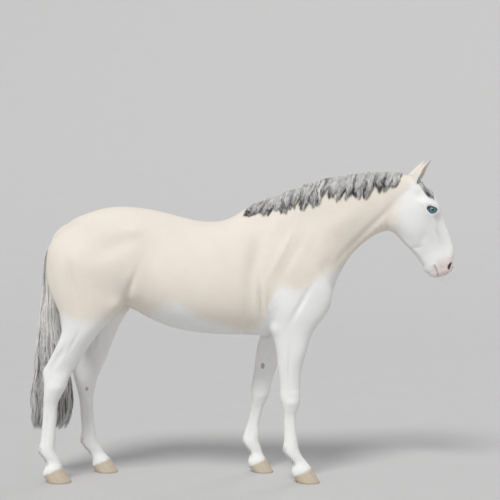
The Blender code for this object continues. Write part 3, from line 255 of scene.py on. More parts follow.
# natural cubic spline through the values at places t, read at `at`
def splineThrough(t, values, at):
    t, values = np.asarray(t, float), np.asarray(values, float)
    h, n = np.diff(t), len(t)
    a, b = np.eye(n), np.zeros(n)
    for i in range(1, n - 1):
        a[i, i - 1:i + 2] = h[i - 1], 2 * (h[i - 1] + h[i]), h[i]
        b[i] = 6 * ((values[i + 1] - values[i]) / h[i] - (values[i] - values[i - 1]) / h[i - 1])
    m = np.linalg.solve(a, b)
    at = np.clip(at, t[0], t[-1])
    i = np.clip(np.searchsorted(t, at) - 1, 0, n - 2)
    u, v, hi = at - t[i], t[i + 1] - at, h[i]
    return (m[i] * v ** 3 + m[i + 1] * u ** 3) / (6 * hi) \
        + (values[i] / hi - m[i] * hi / 6) * v + (values[i + 1] / hi - m[i + 1] * hi / 6) * u


# the union of two fields, with a fillet about k wide where they meet
def blended(a, b, k):
    h = np.maximum(k - np.abs(a - b), 0) / k
    return np.minimum(a, b) - h * h * k / 4


# field a with field b cut from it, its edge rounded over k
def carved(a, b, k):
    h = np.maximum(k - np.abs(a + b), 0) / k
    return np.maximum(a, -b) + h * h * k / 4


# rough distance to a rounded profile: v, u and o are the place as a share of its reach up, across and past
# the end, and e says how square it is
def profile(v, u, o, reach, wide, cap, e):
    v, u = np.abs(v), np.abs(u)
    rho = np.maximum((v ** e + u ** e + o ** e) ** (1 / e), 0.05)
    slope = np.sqrt((v ** (e - 1) / reach) ** 2 + (u ** (e - 1) / wide) ** 2 + (o ** (e - 1) / cap) ** 2)
    slope = np.maximum(slope * rho ** (1 - e), 0.5 / np.maximum(reach, wide))
    return (rho - 1) / slope


# a profile carried along the spline through the sections' middles: each place is measured from the nearest
# short piece of that line
def tubeField(sections, x, y, z, e, caps):
    rows = np.array(list(sections.values()), float)
    length = np.concatenate([[0], np.cumsum(np.hypot(*np.diff(rows[:, :2], axis=0).T))])
    at = np.linspace(0, length[-1], 6 * len(rows))
    px, pz, up, down, wide, taper = (splineThrough(length, c, at) for c in rows.T)
    s = np.zeros(np.broadcast(x, z).shape)
    n, over, best = s.copy(), s.copy(), s + 1e9
    for i in range(len(at) - 1):
        dx, dz, step = px[i + 1] - px[i], pz[i + 1] - pz[i], at[i + 1] - at[i]
        seg = math.hypot(dx, dz)
        along = ((x - px[i]) * dx + (z - pz[i]) * dz) / seg
        side = ((z - pz[i]) * dx - (x - px[i]) * dz) / seg
        first, last = i == 0, i == len(at) - 2
        held = np.clip(along, -1e9 if first else 0, 1e9 if last else seg)
        far = (along - held) ** 2 + side ** 2
        closer = far < best
        best = np.where(closer, far, best)
        s = np.where(closer, at[i] + np.clip(along, 0, seg) / seg * step, s)
        n = np.where(closer, np.sign(side) * np.sqrt(far), n)
        past = np.maximum(-along, 0) / caps[0] * first + np.maximum(along - seg, 0) / caps[1] * last
        over = np.where(closer, past, over)
    up, down, wide, taper = (np.interp(s, at, c) for c in (up, down, wide, taper))
    reach = np.where(n > 0, up, down)
    v = n / reach
    wide = wide * (1 - taper * np.clip(v, -1.15, 1.15))
    return profile(v, y / wide, over, reach, wide, np.where(s < at[-1] / 2, caps[0], caps[1]), e)


# level sections stacked up a leg, with the leg's own humps and hollows
def limbField(rows, marks, x, y, z, e, cap):
    back, front, mid, wide = (splineThrough(rows[:, 0], c, z) for c in rows.T[1:])
    low, high = rows[0, 0], rows[-1, 0]
    over = np.maximum(z - high, 0) / cap + np.maximum(low - z, 0) / 0.02
    deep, u, w = (front - back) / 2, x - (front + back) / 2, y - mid
    f = profile(u / deep, w / wide, over, deep, wide, np.where(z > high, cap, 0.02), e)
    for a, b, c, i, j, k, height in marks.values():
        flat = np.exp(-((u - a) / i) ** 2 - ((z - c) / k) ** 2)
        f = f - height * flat * np.exp(-((np.abs(w) - b) / j) ** 2)
    return f


# subtracts a smooth hump, worked out only where it counts
def addHump(f, axes, row):
    cx, cy, cz, a, b, c, tilt, height = row
    reach = 3 * max(a, c)
    ix = np.nonzero(np.abs(axes[0] - cx) < reach)[0]
    iy = np.nonzero(np.abs(np.abs(axes[1]) - cy) < 3 * b)[0]
    iz = np.nonzero(np.abs(axes[2] - cz) < reach)[0]
    if len(ix) * len(iy) * len(iz) == 0:
        return
    co, si = math.cos(math.radians(tilt)), math.sin(math.radians(tilt))
    dx, dz = axes[0][ix][:, None] - cx, axes[2][iz][None, :] - cz
    flat = np.exp(-((dx * co + dz * si) / a) ** 2 - ((dz * co - dx * si) / c) ** 2)
    across = np.exp(-((np.abs(axes[1][iy]) - cy) / b) ** 2)
    f[np.ix_(ix, iy, iz)] -= height * flat[:, None, :] * across[None, :, None]


# blends a leg into the field, worked out only round the leg
def addLeg(f, axes, legs, marks, side, e, cap, k):
    rows = legRows(legs, side)
    ix = np.nonzero((axes[0] > rows[:, 1].min() - 0.16) & (axes[0] < rows[:, 2].max() + 0.16))[0]
    iy = np.nonzero(axes[1] * side > -0.12)[0]
    iz = np.nonzero(axes[2] < rows[:, 0].max() + cap + 0.12)[0]
    x, y, z = axes[0][ix][:, None, None], axes[1][iy][None, :, None] * side, axes[2][iz][None, None, :]
    at = np.ix_(ix, iy, iz)
    f[at] = blended(f[at], limbField(rows, marks, x, y, z, e, cap), k)


# how square each part is (2 is an oval), the rounding past its ends, and the fillet where it meets the rest
build = dict(
    trunk=(2.15, (0.165, 0.205)), neck=(2.1, (0.10, 0.10), 0.10), skull=(2.4, (0.085, 0.050), 0.045),
    fore=(2.25, 0.06, 0.035), hind=(2.2, 0.05, 0.045),
)


# the whole horse: trunk, neck and skull, then the legs, then its
# humps and hollows and the openings of the head
def bodyField(axes):
    x, y, z = axes[0][:, None, None], axes[1][None, :, None], axes[2][None, None, :]
    f = tubeField(trunk, x, y, z, *build["trunk"])
    for sections, (square, caps, fillet) in ((neck, build["neck"]), (skull, build["skull"])):
        f = blended(f, tubeField(sections, x, y, z, square, caps), fillet)
    for legs, marks, kind in ((foreLegs, foreForms, "fore"), (hindLegs, hindForms, "hind")):
        for side in (-1, 1):
            addLeg(f, axes, legs, marks, side, *build[kind])
    for row in forms.values():
        addHump(f, axes, row)
    headDetail(f, axes)
    return f


# the openings of the head: each one's middle, slant in degrees and reach, then the relief round it
nostril = dict(x=1.2555, y=0.060, z=1.2805, tilt=66, long=0.026, wide=0.0100, narrowing=0.13, bend=5,
               deep=0.024, outwards=0.5, slope=0.011, rounding=0.006, rim=0.0042, crease=0.0022)
mouth = dict(x=1.176, z=1.250, tilt=-68, bend=1.8, high=0.002, corner=0.046, front=0.075,
             slit=0.0030, depth=0.0085, swelling=0.0018)
lids = dict(tilt=-15, high=0.0035, half=0.0228, above=0.0125, below=0.0200, thick=0.0064, fillet=0.024,
            fold=0.0032, second=0.0015, lip=0.0010, rounding=0.0030)


# places turned by an angle in the plane of the body
def turned(dx, dz, angle):
    c, s = math.cos(math.radians(angle)), math.sin(math.radians(angle))
    return dx * c + dz * s, dz * c - dx * s


# a smooth ridge, 1 high where the value is `middle` and falling off over `reach`
def ridge(value, middle, reach):
    return np.exp(-((value - middle) / reach) ** 2)


# nostril: 1 on the edge of a bent oval, wide below and narrow above; and how far behind its middle a place is
def nostrilRing(x, y, z):
    k = nostril
    along, across = turned(x - k["x"], z - k["z"], k["tilt"])
    across = -across - k["bend"] * along ** 2
    wide = k["wide"] - k["narrowing"] * np.clip(along, -0.03, 0.03)
    out = (np.abs(y) - k["y"] + k["outwards"] * (x - k["x"])) / k["deep"]
    return np.sqrt((along / k["long"]) ** 2 + (across / wide) ** 2 + out ** 2), across


# lid opening: 1 on the edge of a rounded triangle, flat above
# and pointed below, turned a little down in front
def lidRing(x, y, z):
    along, up = turned(x - eyeball["x"], z - eyeball["z"], lids["tilt"])
    up = up - lids["high"]
    e, high = np.where(up > 0, 2.2, 1.6), np.where(up > 0, lids["above"], lids["below"])
    ring = (np.abs(along / lids["half"]) ** e + np.abs(up / high) ** e) ** (1 / e)
    return ring + 3 * (np.abs(y) < 0.055), up


# nostrils, mouth and lids
def headDetail(f, axes):
    ix = np.nonzero(axes[0] > 1.05)[0]
    iz = np.nonzero((axes[2] > 1.16) & (axes[2] < 1.72))[0]
    at = np.ix_(ix, np.arange(len(axes[1])), iz)
    x, y, z = axes[0][ix][:, None, None], np.abs(axes[1])[None, :, None], axes[2][iz][None, None, :]
    g = f[at]
    k = nostril
    hole, behind = nostrilRing(x, y, z)
    rim = ridge(hole, 1.38, 0.30) * (y > 0.01)
    g = g - k["rim"] * rim + k["crease"] * ridge(hole, 2.25, 0.22) * (behind > 0.004)
    g = carved(g, (hole - 1) * k["slope"], k["rounding"])
    # mouth: a groove from the front of the lips up to the corner, with a soft swelling beside it
    k = mouth
    along, across = turned(x - k["x"], z - k["z"], k["tilt"])
    across = across + k["bend"] * along ** 2 - k["high"]
    fade = np.clip((k["corner"] + along) / 0.012, 0, 1) * np.clip((k["front"] - along) / 0.02, 0, 1)
    g = g + k["depth"] * np.exp(-(across / k["slit"]) ** 2) * fade
    g = g - k["swelling"] * ridge(np.abs(across), 0.012, 0.008) * fade
    # the lids over the ball, with a fold above the opening and a bag below
    k, e = lids, eyeball
    dy = y - e["y"]
    far = np.sqrt((x - e["x"]) ** 2 + dy ** 2 + (z - e["z"]) ** 2)
    g = blended(g, far - e["r"] - k["thick"], k["fillet"])
    almond, up = lidRing(x, y, z)
    fold = ridge(almond, 1.80, 0.19) * np.where(up > 0, 1.0, 0.45)
    second = ridge(almond, 2.45, 0.18) * (up > 0)
    lip = ridge(almond, 1.25, 0.18)
    g = g + (k["fold"] * fold + k["second"] * second) * (dy > 0) - k["lip"] * lip * (dy > 0)
    edge = (almond - 1 - 50 * np.clip(far - e["r"], 0, 0.008)) * 0.015
    hollow = np.maximum(np.maximum(edge, 0.002 - dy), e["r"] - 0.004 - far)
    f[at] = carved(g, hollow, k["rounding"])


# where the field's sign differs along one diagonal of a grid square only, the surface would touch itself:
# the corner nearest to nought changes sign
def untangled(f):
    for _ in range(6):
        s = f < 0
        found = 0
        for a, b in ((0, 1), (1, 2), (0, 2)):
            cut = [[slice(None)] * 3 for _ in range(4)]
            for k, (i, j) in enumerate(((0, 0), (1, 1), (1, 0), (0, 1))):
                cut[k][a] = slice(1, None) if i else slice(None, -1)
                cut[k][b] = slice(1, None) if j else slice(None, -1)
            s0, s1, s2, s3 = (s[tuple(c)] for c in cut)
            for place in np.argwhere((s0 == s1) & (s2 == s3) & (s0 != s2)):
                corners = [place.copy() for _ in range(4)]
                corners[1][[a, b]] += 1
                corners[2][a] += 1
                corners[3][b] += 1
                near = min(corners, key=lambda c: abs(f[tuple(c)]))
                f[tuple(near)] = -1e-6 if f[tuple(near)] >= 0 else 1e-6
                found += 1
        if not found:
            break
    return f


# the surface where the field is nought: a point for each cell it
# crosses, a face for each grid edge it crosses
def surfaceNet(f, axes):
    f = untangled(f)
    n = np.array(f.shape)
    cells, places, faces = [], [], []
    one = np.eye(3, dtype=int)
    for a in range(3):
        b, c = (a + 1) % 3, (a + 2) % 3
        f0 = f[tuple(slice(None, -1) if i == a else slice(None) for i in range(3))]
        f1 = f[tuple(slice(1, None) if i == a else slice(None) for i in range(3))]
        index = np.argwhere((f0 < 0) != (f1 < 0))
        across = index[:, [b, c]]
        index = index[((across > 0) & (across < n[[b, c]] - 1)).all(1)]
        va, vb = f[tuple(index.T)], f[tuple((index + one[a]).T)]
        place = index + (va / (va - vb))[:, None] * one[a]
        ring = np.stack([index, index - one[b], index - one[b] - one[c], index - one[c]], 1)
        key = (ring[..., 0] * n[1] + ring[..., 1]) * n[2] + ring[..., 2]
        faces.append(np.where((va < 0)[:, None], key, key[:, ::-1]))
        cells.append(key.ravel())
        places.append(np.repeat(place, 4, axis=0))
    cells, places, faces = (np.concatenate(p) for p in (cells, places, faces))
    kept, which = np.unique(cells, return_inverse=True)
    count = np.bincount(which)
    points = np.stack([np.bincount(which, places[:, i]) / count for i in range(3)], 1)
    points = np.stack([np.interp(points[:, i], np.arange(n[i]), axes[i]) for i in range(3)], 1)
    return points, np.searchsorted(kept, faces)


# the field and its slope at points, by linear weights between the grid's corners
def readField(f, axes, points):
    index, part = [], []
    for i in range(3):
        k = np.clip(np.searchsorted(axes[i], points[:, i]) - 1, 0, len(axes[i]) - 2)
        index.append(k)
        part.append((points[:, i] - axes[i][k]) / (axes[i][k + 1] - axes[i][k]))
    value, slope = 0, np.zeros((len(points), 3))
    for corner in np.ndindex(2, 2, 2):
        v = f[index[0] + corner[0], index[1] + corner[1], index[2] + corner[2]]
        w = [part[i] if corner[i] else 1 - part[i] for i in range(3)]
        value = value + v * w[0] * w[1] * w[2]
        for i in range(3):
            step = axes[i][index[i] + 1] - axes[i][index[i]]
            slope[:, i] += (1 if corner[i] else -1) * v * w[(i + 1) % 3] * w[(i + 2) % 3] / step
    return value, slope


# evens out the points along the surface, then sets them back on it
def relaxed(points, faces, f, axes, rounds):
    ends = np.concatenate([faces[:, [i, (i + 1) % 4]] for i in range(4)])
    count = np.maximum(np.bincount(ends[:, 0], minlength=len(points)), 1)
    for _ in range(rounds):
        mean = np.stack([np.bincount(ends[:, 0], points[ends[:, 1], i], len(points)) for i in range(3)], 1)
        points = 0.4 * points + 0.6 * mean / count[:, None]
        value, slope = readField(f, axes, points)
        points = points - value[:, None] * slope / np.maximum((slope ** 2).sum(1), 0.2)[:, None]
    return points




# ---- meshes from whole arrays
# a value for each point under every name in `marks`, as float attributes
def setMarks(mesh, marks):
    for key, value in marks.items():
        mesh.attributes.new(key, "FLOAT", "POINT").data.foreach_set("value", np.asarray(value, np.float32))


# a smooth mesh of quads and triangles, with its marks, and a
# flow: a map's name and its u and v for each point
def meshFrom(name, points, quads, tris=None, marks=None, flow=None):
    tris = np.zeros((0, 3), int) if tris is None else tris
    mesh = bpy.data.meshes.new(name)
    corners = np.concatenate([quads.ravel(), tris.ravel()]).astype(np.int32)
    starts = np.concatenate([np.arange(len(quads)) * 4, len(quads) * 4 + np.arange(len(tris)) * 3])
    mesh.vertices.add(len(points))
    mesh.vertices.foreach_set("co", np.asarray(points, np.float32).ravel())
    mesh.loops.add(len(corners))
    mesh.loops.foreach_set("vertex_index", corners)
    mesh.polygons.add(len(starts))
    mesh.polygons.foreach_set("loop_start", starts.astype(np.int32))
    mesh.update(calc_edges=True)
    setMarks(mesh, marks or {})
    if flow is not None:
        mesh.uv_layers.new(name=flow[0]).data.foreach_set("uv", flow[1][corners].astype(np.float32).ravel())
    mesh.shade_smooth()
    thing = bpy.data.objects.new(name, mesh)
    bpy.context.scene.collection.objects.link(thing)
    return thing


# a named value of each item of a mesh's list, as an array with one row for each
def readRows(items, key, wide, kind=np.float32):
    rows = np.empty(len(items) * wide, kind)
    items.foreach_get(key, rows)
    return rows.reshape(-1, wide)


# the place of each point
def pointsOf(thing):
    return readRows(thing.data.vertices, "co", 3).astype(float)


# the way the surface faces at each point
def normalsOf(thing):
    return readRows(thing.data.vertex_normals, "vector", 3).astype(float)


# ways scaled to length 1
def unit(v):
    return v / np.maximum(np.linalg.norm(v, axis=-1, keepdims=True), 1e-9)


# 0 below low, 1 above high, a smooth step between
def ramp(value, low, high):
    t = np.clip((value - low) / (high - low), 0, 1)
    return t * t * (3 - 2 * t)


# points, quads and triangles of a surface on a grid: rings that close round, ended by one point at each end
def capped(rings, start, end):
    rows, around = rings.shape[:2]
    i, j = np.meshgrid(np.arange(rows - 1), np.arange(around), indexing="ij")
    a, b = i * around + j, i * around + (j + 1) % around
    quads = np.stack([a, b, b + around, a + around], -1).reshape(-1, 4)
    first, last = rows * around, rows * around + 1
    k = np.arange(around)
    low = np.stack([(k + 1) % around, k, k * 0 + first], 1)
    high = np.stack([k + (rows - 1) * around, (k + 1) % around + (rows - 1) * around, k * 0 + last], 1)
    return np.concatenate([rings.reshape(-1, 3), [start], [end]]), quads, np.concatenate([low, high])


# turns faces outwards where a closed surface came out inside out
def facingOut(points, quads, tris):
    volume = 0
    for faces in (quads, tris):
        for k in range(1, faces.shape[1] - 1):
            a, b, c = (points[faces[:, m]] for m in (0, k, k + 1))
            volume += np.einsum("ij,ij->", a, np.cross(b, c))
    return (quads, tris) if volume > 0 else (quads[:, ::-1], tris[:, ::-1])


# ---- shader nodes
# a socket whose operators add Math nodes
class Socket:
    def __init__(self, tree, out):
        self.tree, self.out = tree, out

    # adds a node: settings first, then the values or links of its sockets; gives back one output
    def node(self, kind, settings=None, sockets=None, output=0):
        made = self.tree.nodes.new("ShaderNode" + kind)
        for key, value in (settings or {}).items():
            if key == "stops":
                setStops(made.color_ramp, value)
            else:
                setattr(made, key, value)
        for key, value in (sockets or {}).items():
            if isinstance(value, Socket):
                self.tree.links.new(value.out, made.inputs[key])
            else:
                made.inputs[key].default_value = value
        return Socket(self.tree, made.outputs[output])

    # a Math node on values or links
    def maths(self, operation, *values):
        return self.node("Math", {"operation": operation}, dict(enumerate(values)))

    def __add__(self, other):
        return self.maths("ADD", self, other)

    def __sub__(self, other):
        return self.maths("SUBTRACT", self, other)

    def __rsub__(self, other):
        return self.maths("SUBTRACT", other, self)

    def __mul__(self, other):
        return self.maths("MULTIPLY", self, other)

    def __truediv__(self, other):
        return self.maths("DIVIDE", self, other)

    def __rtruediv__(self, other):
        return self.maths("DIVIDE", other, self)

    def __pow__(self, other):
        return self.maths("POWER", self, other)

    __radd__, __rmul__ = __add__, __mul__

    # a smooth step from 0 below low to 1 above high
    def between(self, low, high):
        return self.node("MapRange", {"interpolation_type": "SMOOTHSTEP"}, {0: self, 1: low, 2: high})

    # this colour with `other` laid over it by a share
    def under(self, other, share, blend="MIX"):
        return self.node("Mix", {"data_type": "RGBA", "blend_type": blend}, {0: share, 6: self, 7: other}, 2)


# a colour ramp's stops: place and colour of each
def setStops(colourRamp, stops):
    while len(colourRamp.elements) < len(stops):
        colourRamp.elements.new(0.5)
    for k, (place, colour) in enumerate(stops):
        colourRamp.elements[k].position = place
        colourRamp.elements[k].color = (*colour, 1)


# a material: its tree as a Socket to build on, and its shader with fixed values set
def newFinish(name, **fixed):
    material = bpy.data.materials.new(name)
    material.use_nodes = True
    shader = material.node_tree.nodes["Principled BSDF"]
    for key, value in fixed.items():
        shader.inputs[key.replace("_", " ")].default_value = value
    return material, Socket(material.node_tree, None), shader


# links a value to a socket of the shader
def feed(shader, name, value):
    value.tree.links.new(value.out, shader.inputs[name])


# a colour as a socket takes it, fully opaque
def colour(r, g, b):
    return (r, g, b, 1)


# the piece's own coordinates in units of `grain`, the size of the pattern along its own turned axes
def placed(base, grain=(1, 1, 1), rotation=(0, 0, 0)):
    own = base.node("TexCoord", output="Object")
    turn = tuple(math.radians(a) for a in rotation)
    return base.node("Mapping", {"vector_type": "TEXTURE"}, {"Vector": own, "Rotation": turn, "Scale": grain})


# soft noise between 0 and 1 at a place
def noise(base, vector, scale, detail=2.0, rough=0.5):
    sockets = {"Vector": vector, "Scale": scale, "Detail": detail, "Roughness": rough}
    return base.node("TexNoise", {}, sockets)


# one of the mesh's own marks
def mark(base, name):
    return base.node("Attribute", {"attribute_name": name}, output="Fac")


# fine hair lines: noise drawn out along the piece's own height
def fineLines(base, grain, strength, distance):
    fine = noise(base, placed(base, grain), 1.0, 2, 0.5)
    return fine, base.node("Bump", {}, {"Strength": strength, "Distance": distance, "Height": fine})


# ---- the skin
# shares of the length that heel and toe lean in, the heel's height and the top's width as shares, the rings,
# the edge tucked in under the coat, and the colours
hoof = dict(heelIn=0.18, toeBack=0.33, heelHigh=0.42, topWide=0.82, levels=46, around=72, ring=0.00022,
            tuck=0.002, covered=0.010, square=0.85, heelNarrow=0.22, inset=0.0008,
            horn=(0.61, 0.52, 0.40), pale=(0.69, 0.61, 0.49), deep=(0.51, 0.42, 0.31))
hoofNodes = dict(hoofForeRight="hoof_fore_right", hoofForeLeft="hoof_fore_left",
                 hoofHindRight="hoof_hind_right", hoofHindLeft="hoof_hind_left")


# a hoof's sizes from its node's box: its corners, the heel at the ground and the toe at the top
def hoofSizes(node):
    low, high = (np.array(c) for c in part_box(node))
    long = high[0] - low[0]
    return low, high, low[0] + hoof["heelIn"] * long, high[0] - hoof["toeBack"] * long


# the height of its slanted top at a place along it
def hoofTop(node, x):
    low, high, _, toeUp = hoofSizes(node)
    share = np.clip((x - low[0]) / (toeUp - low[0]), -0.3, 1.2)
    return (hoof["heelHigh"] + (1 - hoof["heelHigh"]) * share) * high[2]


# the skin ends a little under each hoof's slanted top edge
def trimmed(f, axes):
    x, y, z = axes[0][:, None, None], axes[1][None, :, None], axes[2][None, None, :]
    for node in hoofNodes.values():
        low, high, _, _ = hoofSizes(node)
        ix = np.nonzero(np.abs(axes[0] - (low[0] + high[0]) / 2) < 0.14)[0]
        iy = np.nonzero(axes[1] * low[1] > 0)[0]
        iz = np.nonzero(axes[2] < 0.16)[0]
        at = np.ix_(ix, iy, iz)
        over = (z - hoofTop(node, x) + hoof["covered"])[ix][:, :, iz]
        f[at] = carved(f[at], over + 0 * y[:, iy], 0.005)
    return f


# grid steps, depth under the coat, triangles, and the smoothing
# where the ears and the nostrils' edges join it
skin = dict(step=0.0110, fine=0.0050, finest=0.0026, depth=0.0030, triangles=186000, share=0.6, earRounds=24,
            edgeRounds=22)
# root, tip, how far the left one is turned back, and half width, depth and thickness; then, at shares
# of the way up: width and depth as shares, and how far each rim wraps round, in degrees
ear = dict(x=1.022, y=0.044, z=1.742, tipX=1.147, tipY=0.068, tipZ=1.927, farBack=0.024,
           wide=0.030, deep=0.040, thick=0.0034,
           at=[0, 0.2, 0.4, 0.6, 0.75, 0.9, 1], wideAt=[0.50, 0.84, 1.0, 0.88, 0.64, 0.29, 0.05],
           deepAt=[0.50, 0.86, 0.92, 0.64, 0.39, 0.16, 0.04],
           wrapAt=[0, 0.25, 0.45, 0.7, 1], wrap=[162, 146, 120, 100, 88])


# places to read the field: coarse on the body, finer at the head, finest at eye, nostril and mouth
def gridAxes(step, fine, finest):
    # even places from a to b, about a step s apart, stretch after stretch
    def places(*parts):
        counts = [max(1, round((b - a) / s)) for a, b, s in parts]
        return np.concatenate([np.linspace(a, b, n, endpoint=False) for (a, b, _), n in zip(parts, counts)])

    mid, lip = (step + fine) / 2, (fine + finest) / 2
    xs = places((-1.26, 0.82, step), (0.82, 1.10, fine), (1.10, 1.20, finest), (1.20, 1.34, lip))
    zs = places((-0.02, 0.24, fine), (0.24, 1.17, step), (1.17, 1.34, lip), (1.34, 1.575, fine),
                (1.575, 1.68, finest), (1.68, 1.95, mid))
    half = places((0, 0.072, fine), (0.072, 0.114, finest), (0.114, 0.37, step)) + fine / 2
    return xs, np.concatenate([-half[::-1], half]), zs


skinAxes = gridAxes(skin["step"], skin["fine"], skin["finest"])
skinField = trimmed(bodyField(skinAxes) + skin["depth"], skinAxes)


# rings of a cupped ear from inside the head to the tip: two arcs round the axis, joined at the rims
def earRings(side, along, around):
    e = ear
    back = e["farBack"] if side > 0 else 0
    base = np.array([e["x"] - 0.4 * back, e["y"] * side, e["z"]])
    tip = np.array([e["tipX"] - back, e["tipY"] * side, e["tipZ"]])
    axis = unit(tip - base)
    front = np.array([0.90, 0.44 * side, 0.0])
    front = unit(front - axis * (front @ axis))
    across = np.cross(axis, front)
    t = np.linspace(0, 1, along)
    wide = e["wide"] * splineThrough(e["at"], e["wideAt"], t)
    deep = e["deep"] * splineThrough(e["at"], e["deepAt"], t)
    wrap = np.radians(splineThrough(e["wrapAt"], e["wrap"], t))
    thick = np.minimum(e["thick"] * np.interp(t, [0, 0.8, 1], [1.6, 1.0, 0.7]), 0.45 * np.minimum(wide, deep))
    middle = base + t[:, None] * (tip - base) - 0.006 * np.sin(np.pi * t)[:, None] * front
    a = np.linspace(-1, 1, around)[None, :] * wrap[:, None]
    ring = []
    for inset in (0 * thick, thick):
        w, d = (wide - inset)[:, None, None], (deep - inset)[:, None, None]
        ring.append(middle[:, None] + np.sin(a)[..., None] * w * across - np.cos(a)[..., None] * d * front)
    rims = [(ring[0][:, k] + ring[1][:, k]) / 2 + across * s * 0.0006 for k, s in ((-1, 1), (0, -1))]
    return np.concatenate([ring[0], rims[0][:, None], ring[1][:, ::-1], rims[1][:, None]], 1)


# the mesh that the modifiers make becomes the piece's own
def settled(thing):
    made = bpy.data.meshes.new_from_object(thing.evaluated_get(bpy.context.evaluated_depsgraph_get()))
    thing.modifiers.clear()
    made.materials.clear()
    thing.data = made


# another closed piece made one with this one
def joined(thing, other):
    union = thing.modifiers.new("join", "BOOLEAN")
    union.object, union.operation, union.solver = other, "UNION", "MANIFOLD"
    settled(thing)
    bpy.data.objects.remove(other)


# each point moved towards the mean of its neighbours, by its own share
def softened(thing, share, rounds):
    ends = readRows(thing.data.edges, "vertices", 2, np.int32)
    ends = np.concatenate([ends, ends[:, ::-1]])
    places = pointsOf(thing)
    count = np.maximum(np.bincount(ends[:, 0], minlength=len(places)), 1)[:, None]
    for _ in range(rounds):
        mean = np.stack([np.bincount(ends[:, 0], places[ends[:, 1], k], len(places)) for k in range(3)], 1)
        places = places + share[:, None] * (mean / count - places)
    thing.data.vertices.foreach_set("co", places.astype(np.float32).ravel())
    thing.data.update()


# places moved to a height over the skin, by steps down the field's slope
def laidOn(places, height, rounds=4):
    flat, height = places.reshape(-1, 3), np.broadcast_to(height, places.shape[:-1]).ravel()
    for _ in range(rounds):
        value, slope = readField(skinField, skinAxes, flat)
        flat = flat - ((value - height) / np.maximum((slope ** 2).sum(1), 0.3))[:, None] * slope
    return flat.reshape(places.shape)


# places that lie lower than a height over the skin moved out to it
def clearOf(places, height):
    value, _ = readField(skinField, skinAxes, places.reshape(-1, 3))
    low = value.reshape(places.shape[:-1]) < height
    return np.where(low[..., None], laidOn(places, height), places)


# the surface of the field, thinned, with two cupped ears joined
# on and their roots and the nostrils' edges evened
def makeSkin():
    points, quads = surfaceNet(skinField, skinAxes)
    points = relaxed(points, quads, skinField, skinAxes, 3)
    thing = meshFrom("skin", points, quads)
    fewer = thing.modifiers.new("fewer", "DECIMATE")
    fewer.ratio = skin["triangles"] / (2 * len(quads))
    settled(thing)
    print("skin net", len(quads), "quads, then", len(thing.data.polygons), "triangles")
    for side in (-1, 1):
        rings = earRings(side, 34, 15)
        shape = capped(rings, rings[0].mean(0), rings[-1].mean(0))
        cup = meshFrom("cup", shape[0], *facingOut(*shape))
        joined(thing, cup)
    places = pointsOf(thing)
    root = (places - [ear["x"] + 0.038, 0, ear["z"] + 0.030]) * [1, 0, 1]
    near = np.exp(-((np.linalg.norm(root, axis=1) / 0.050) ** 4)) * (np.abs(places[:, 1]) < 0.13)
    softened(thing, skin["share"] * near, skin["earRounds"])
    edge = np.abs(nostrilRing(*pointsOf(thing).T)[0] - 1.15)
    softened(thing, skin["share"] * ridge(edge, 0, 0.45), skin["edgeRounds"])
    thing.data.shade_smooth()
    return thing


# ---- markings and painted hollow shade, the same on skin and coat
# the top of the white on the legs, belly and breast, by place along the body; then the rear edge of the white
# face, by height
whiteTop = dict(
    buttock=(-1.20, 1.16), ham=(-1.10, 1.04), thigh=(-1.00, 0.97), stifle=(-0.82, 0.97), flank=(-0.62, 1.00),
    bellyRear=(-0.50, 1.02), belly=(-0.37, 1.07), bellyMiddle=(-0.24, 0.99), bellyFront=(-0.08, 0.93),
    girth=(0.10, 0.93), elbow=(0.17, 1.06), shoulder=(0.24, 1.16), arm=(0.33, 1.13), breast=(0.48, 1.24),
    front=(0.60, 1.25),
)
faceEdge = dict(throat=(1.38, 0.935), jaw=(1.48, 0.925), cheek=(1.60, 0.935), nape=(1.70, 0.962),
                poll=(1.80, 1.045))
muzzle = dict(x=1.235, z=1.255, reachX=0.075, reachY=0.085, reachZ=0.080)


# how far inside the white a place lies, in metres, and how bare
# and pink it is: shares of an egg round the muzzle
def markingsAt(p):
    x, y, z = p.T
    rows, face = np.array(list(whiteTop.values())), np.array(list(faceEdge.values()))
    top = splineThrough(rows[:, 0], rows[:, 1], x)
    low = np.where(x < 0.7, top - z, -0.2)
    head = np.minimum(x - splineThrough(face[:, 0], face[:, 1], z), 1.815 - z) * (z > 1.2) - 0.2 * (z <= 1.2)
    k = muzzle
    u, v, w = (x - k["x"]) / k["reachX"], y / k["reachY"], (z - k["z"]) / k["reachZ"]
    egg = np.sqrt(u ** 2 + v ** 2 + w ** 2)
    return np.maximum(low, 0.85 * head), np.clip(1.6 - egg, 0, 1)


# the horny patches on the insides of the legs: x, |y|, z, size; 1 at the middle of one, 0 at its edge
chestnuts = dict(foreRight=(0.285, -0.105, 0.660, 0.024), foreLeft=(0.130, 0.105, 0.660, 0.024),
                 hindRight=(-1.085, -0.105, 0.520, 0.017), hindLeft=(-0.955, 0.105, 0.520, 0.017))


# 1 in the middle of an egg-shaped patch, 0 at its edge
def chestnutAt(p):
    near = 0
    for x, y, z, size in chestnuts.values():
        away = (p - [x, y, z]) / [0.6 * size, 1.6 * size, size]
        near = np.maximum(near, 1 - np.linalg.norm(away, axis=1))
    return near


# how far forward a place lies along the neck and along the head, square to the slanted cuts at their roots
def pastCuts(x, z):
    return x + 0.55 * (z - 1.3), x + 0.25 * (z - 1.5)


# shares of trunk, neck, head and legs at a place, with soft steps between them; they add up to 1
def regionsAt(p):
    x, _, z = p.T
    alongNeck, alongHead = pastCuts(x, z)
    legs = 1 - ramp(z, 0.80, 1.00)
    head = ramp(alongHead, 0.93, 1.02) * (1 - legs)
    neck = ramp(alongNeck, 0.30, 0.52) * (1 - head) * (1 - legs)
    return np.clip(1 - legs - head - neck, 0, 1), neck, head, legs


# a way turned to lie along the surface
def alongSurface(way, normal):
    return unit(way - (way * normal).sum(1, keepdims=True) * normal)


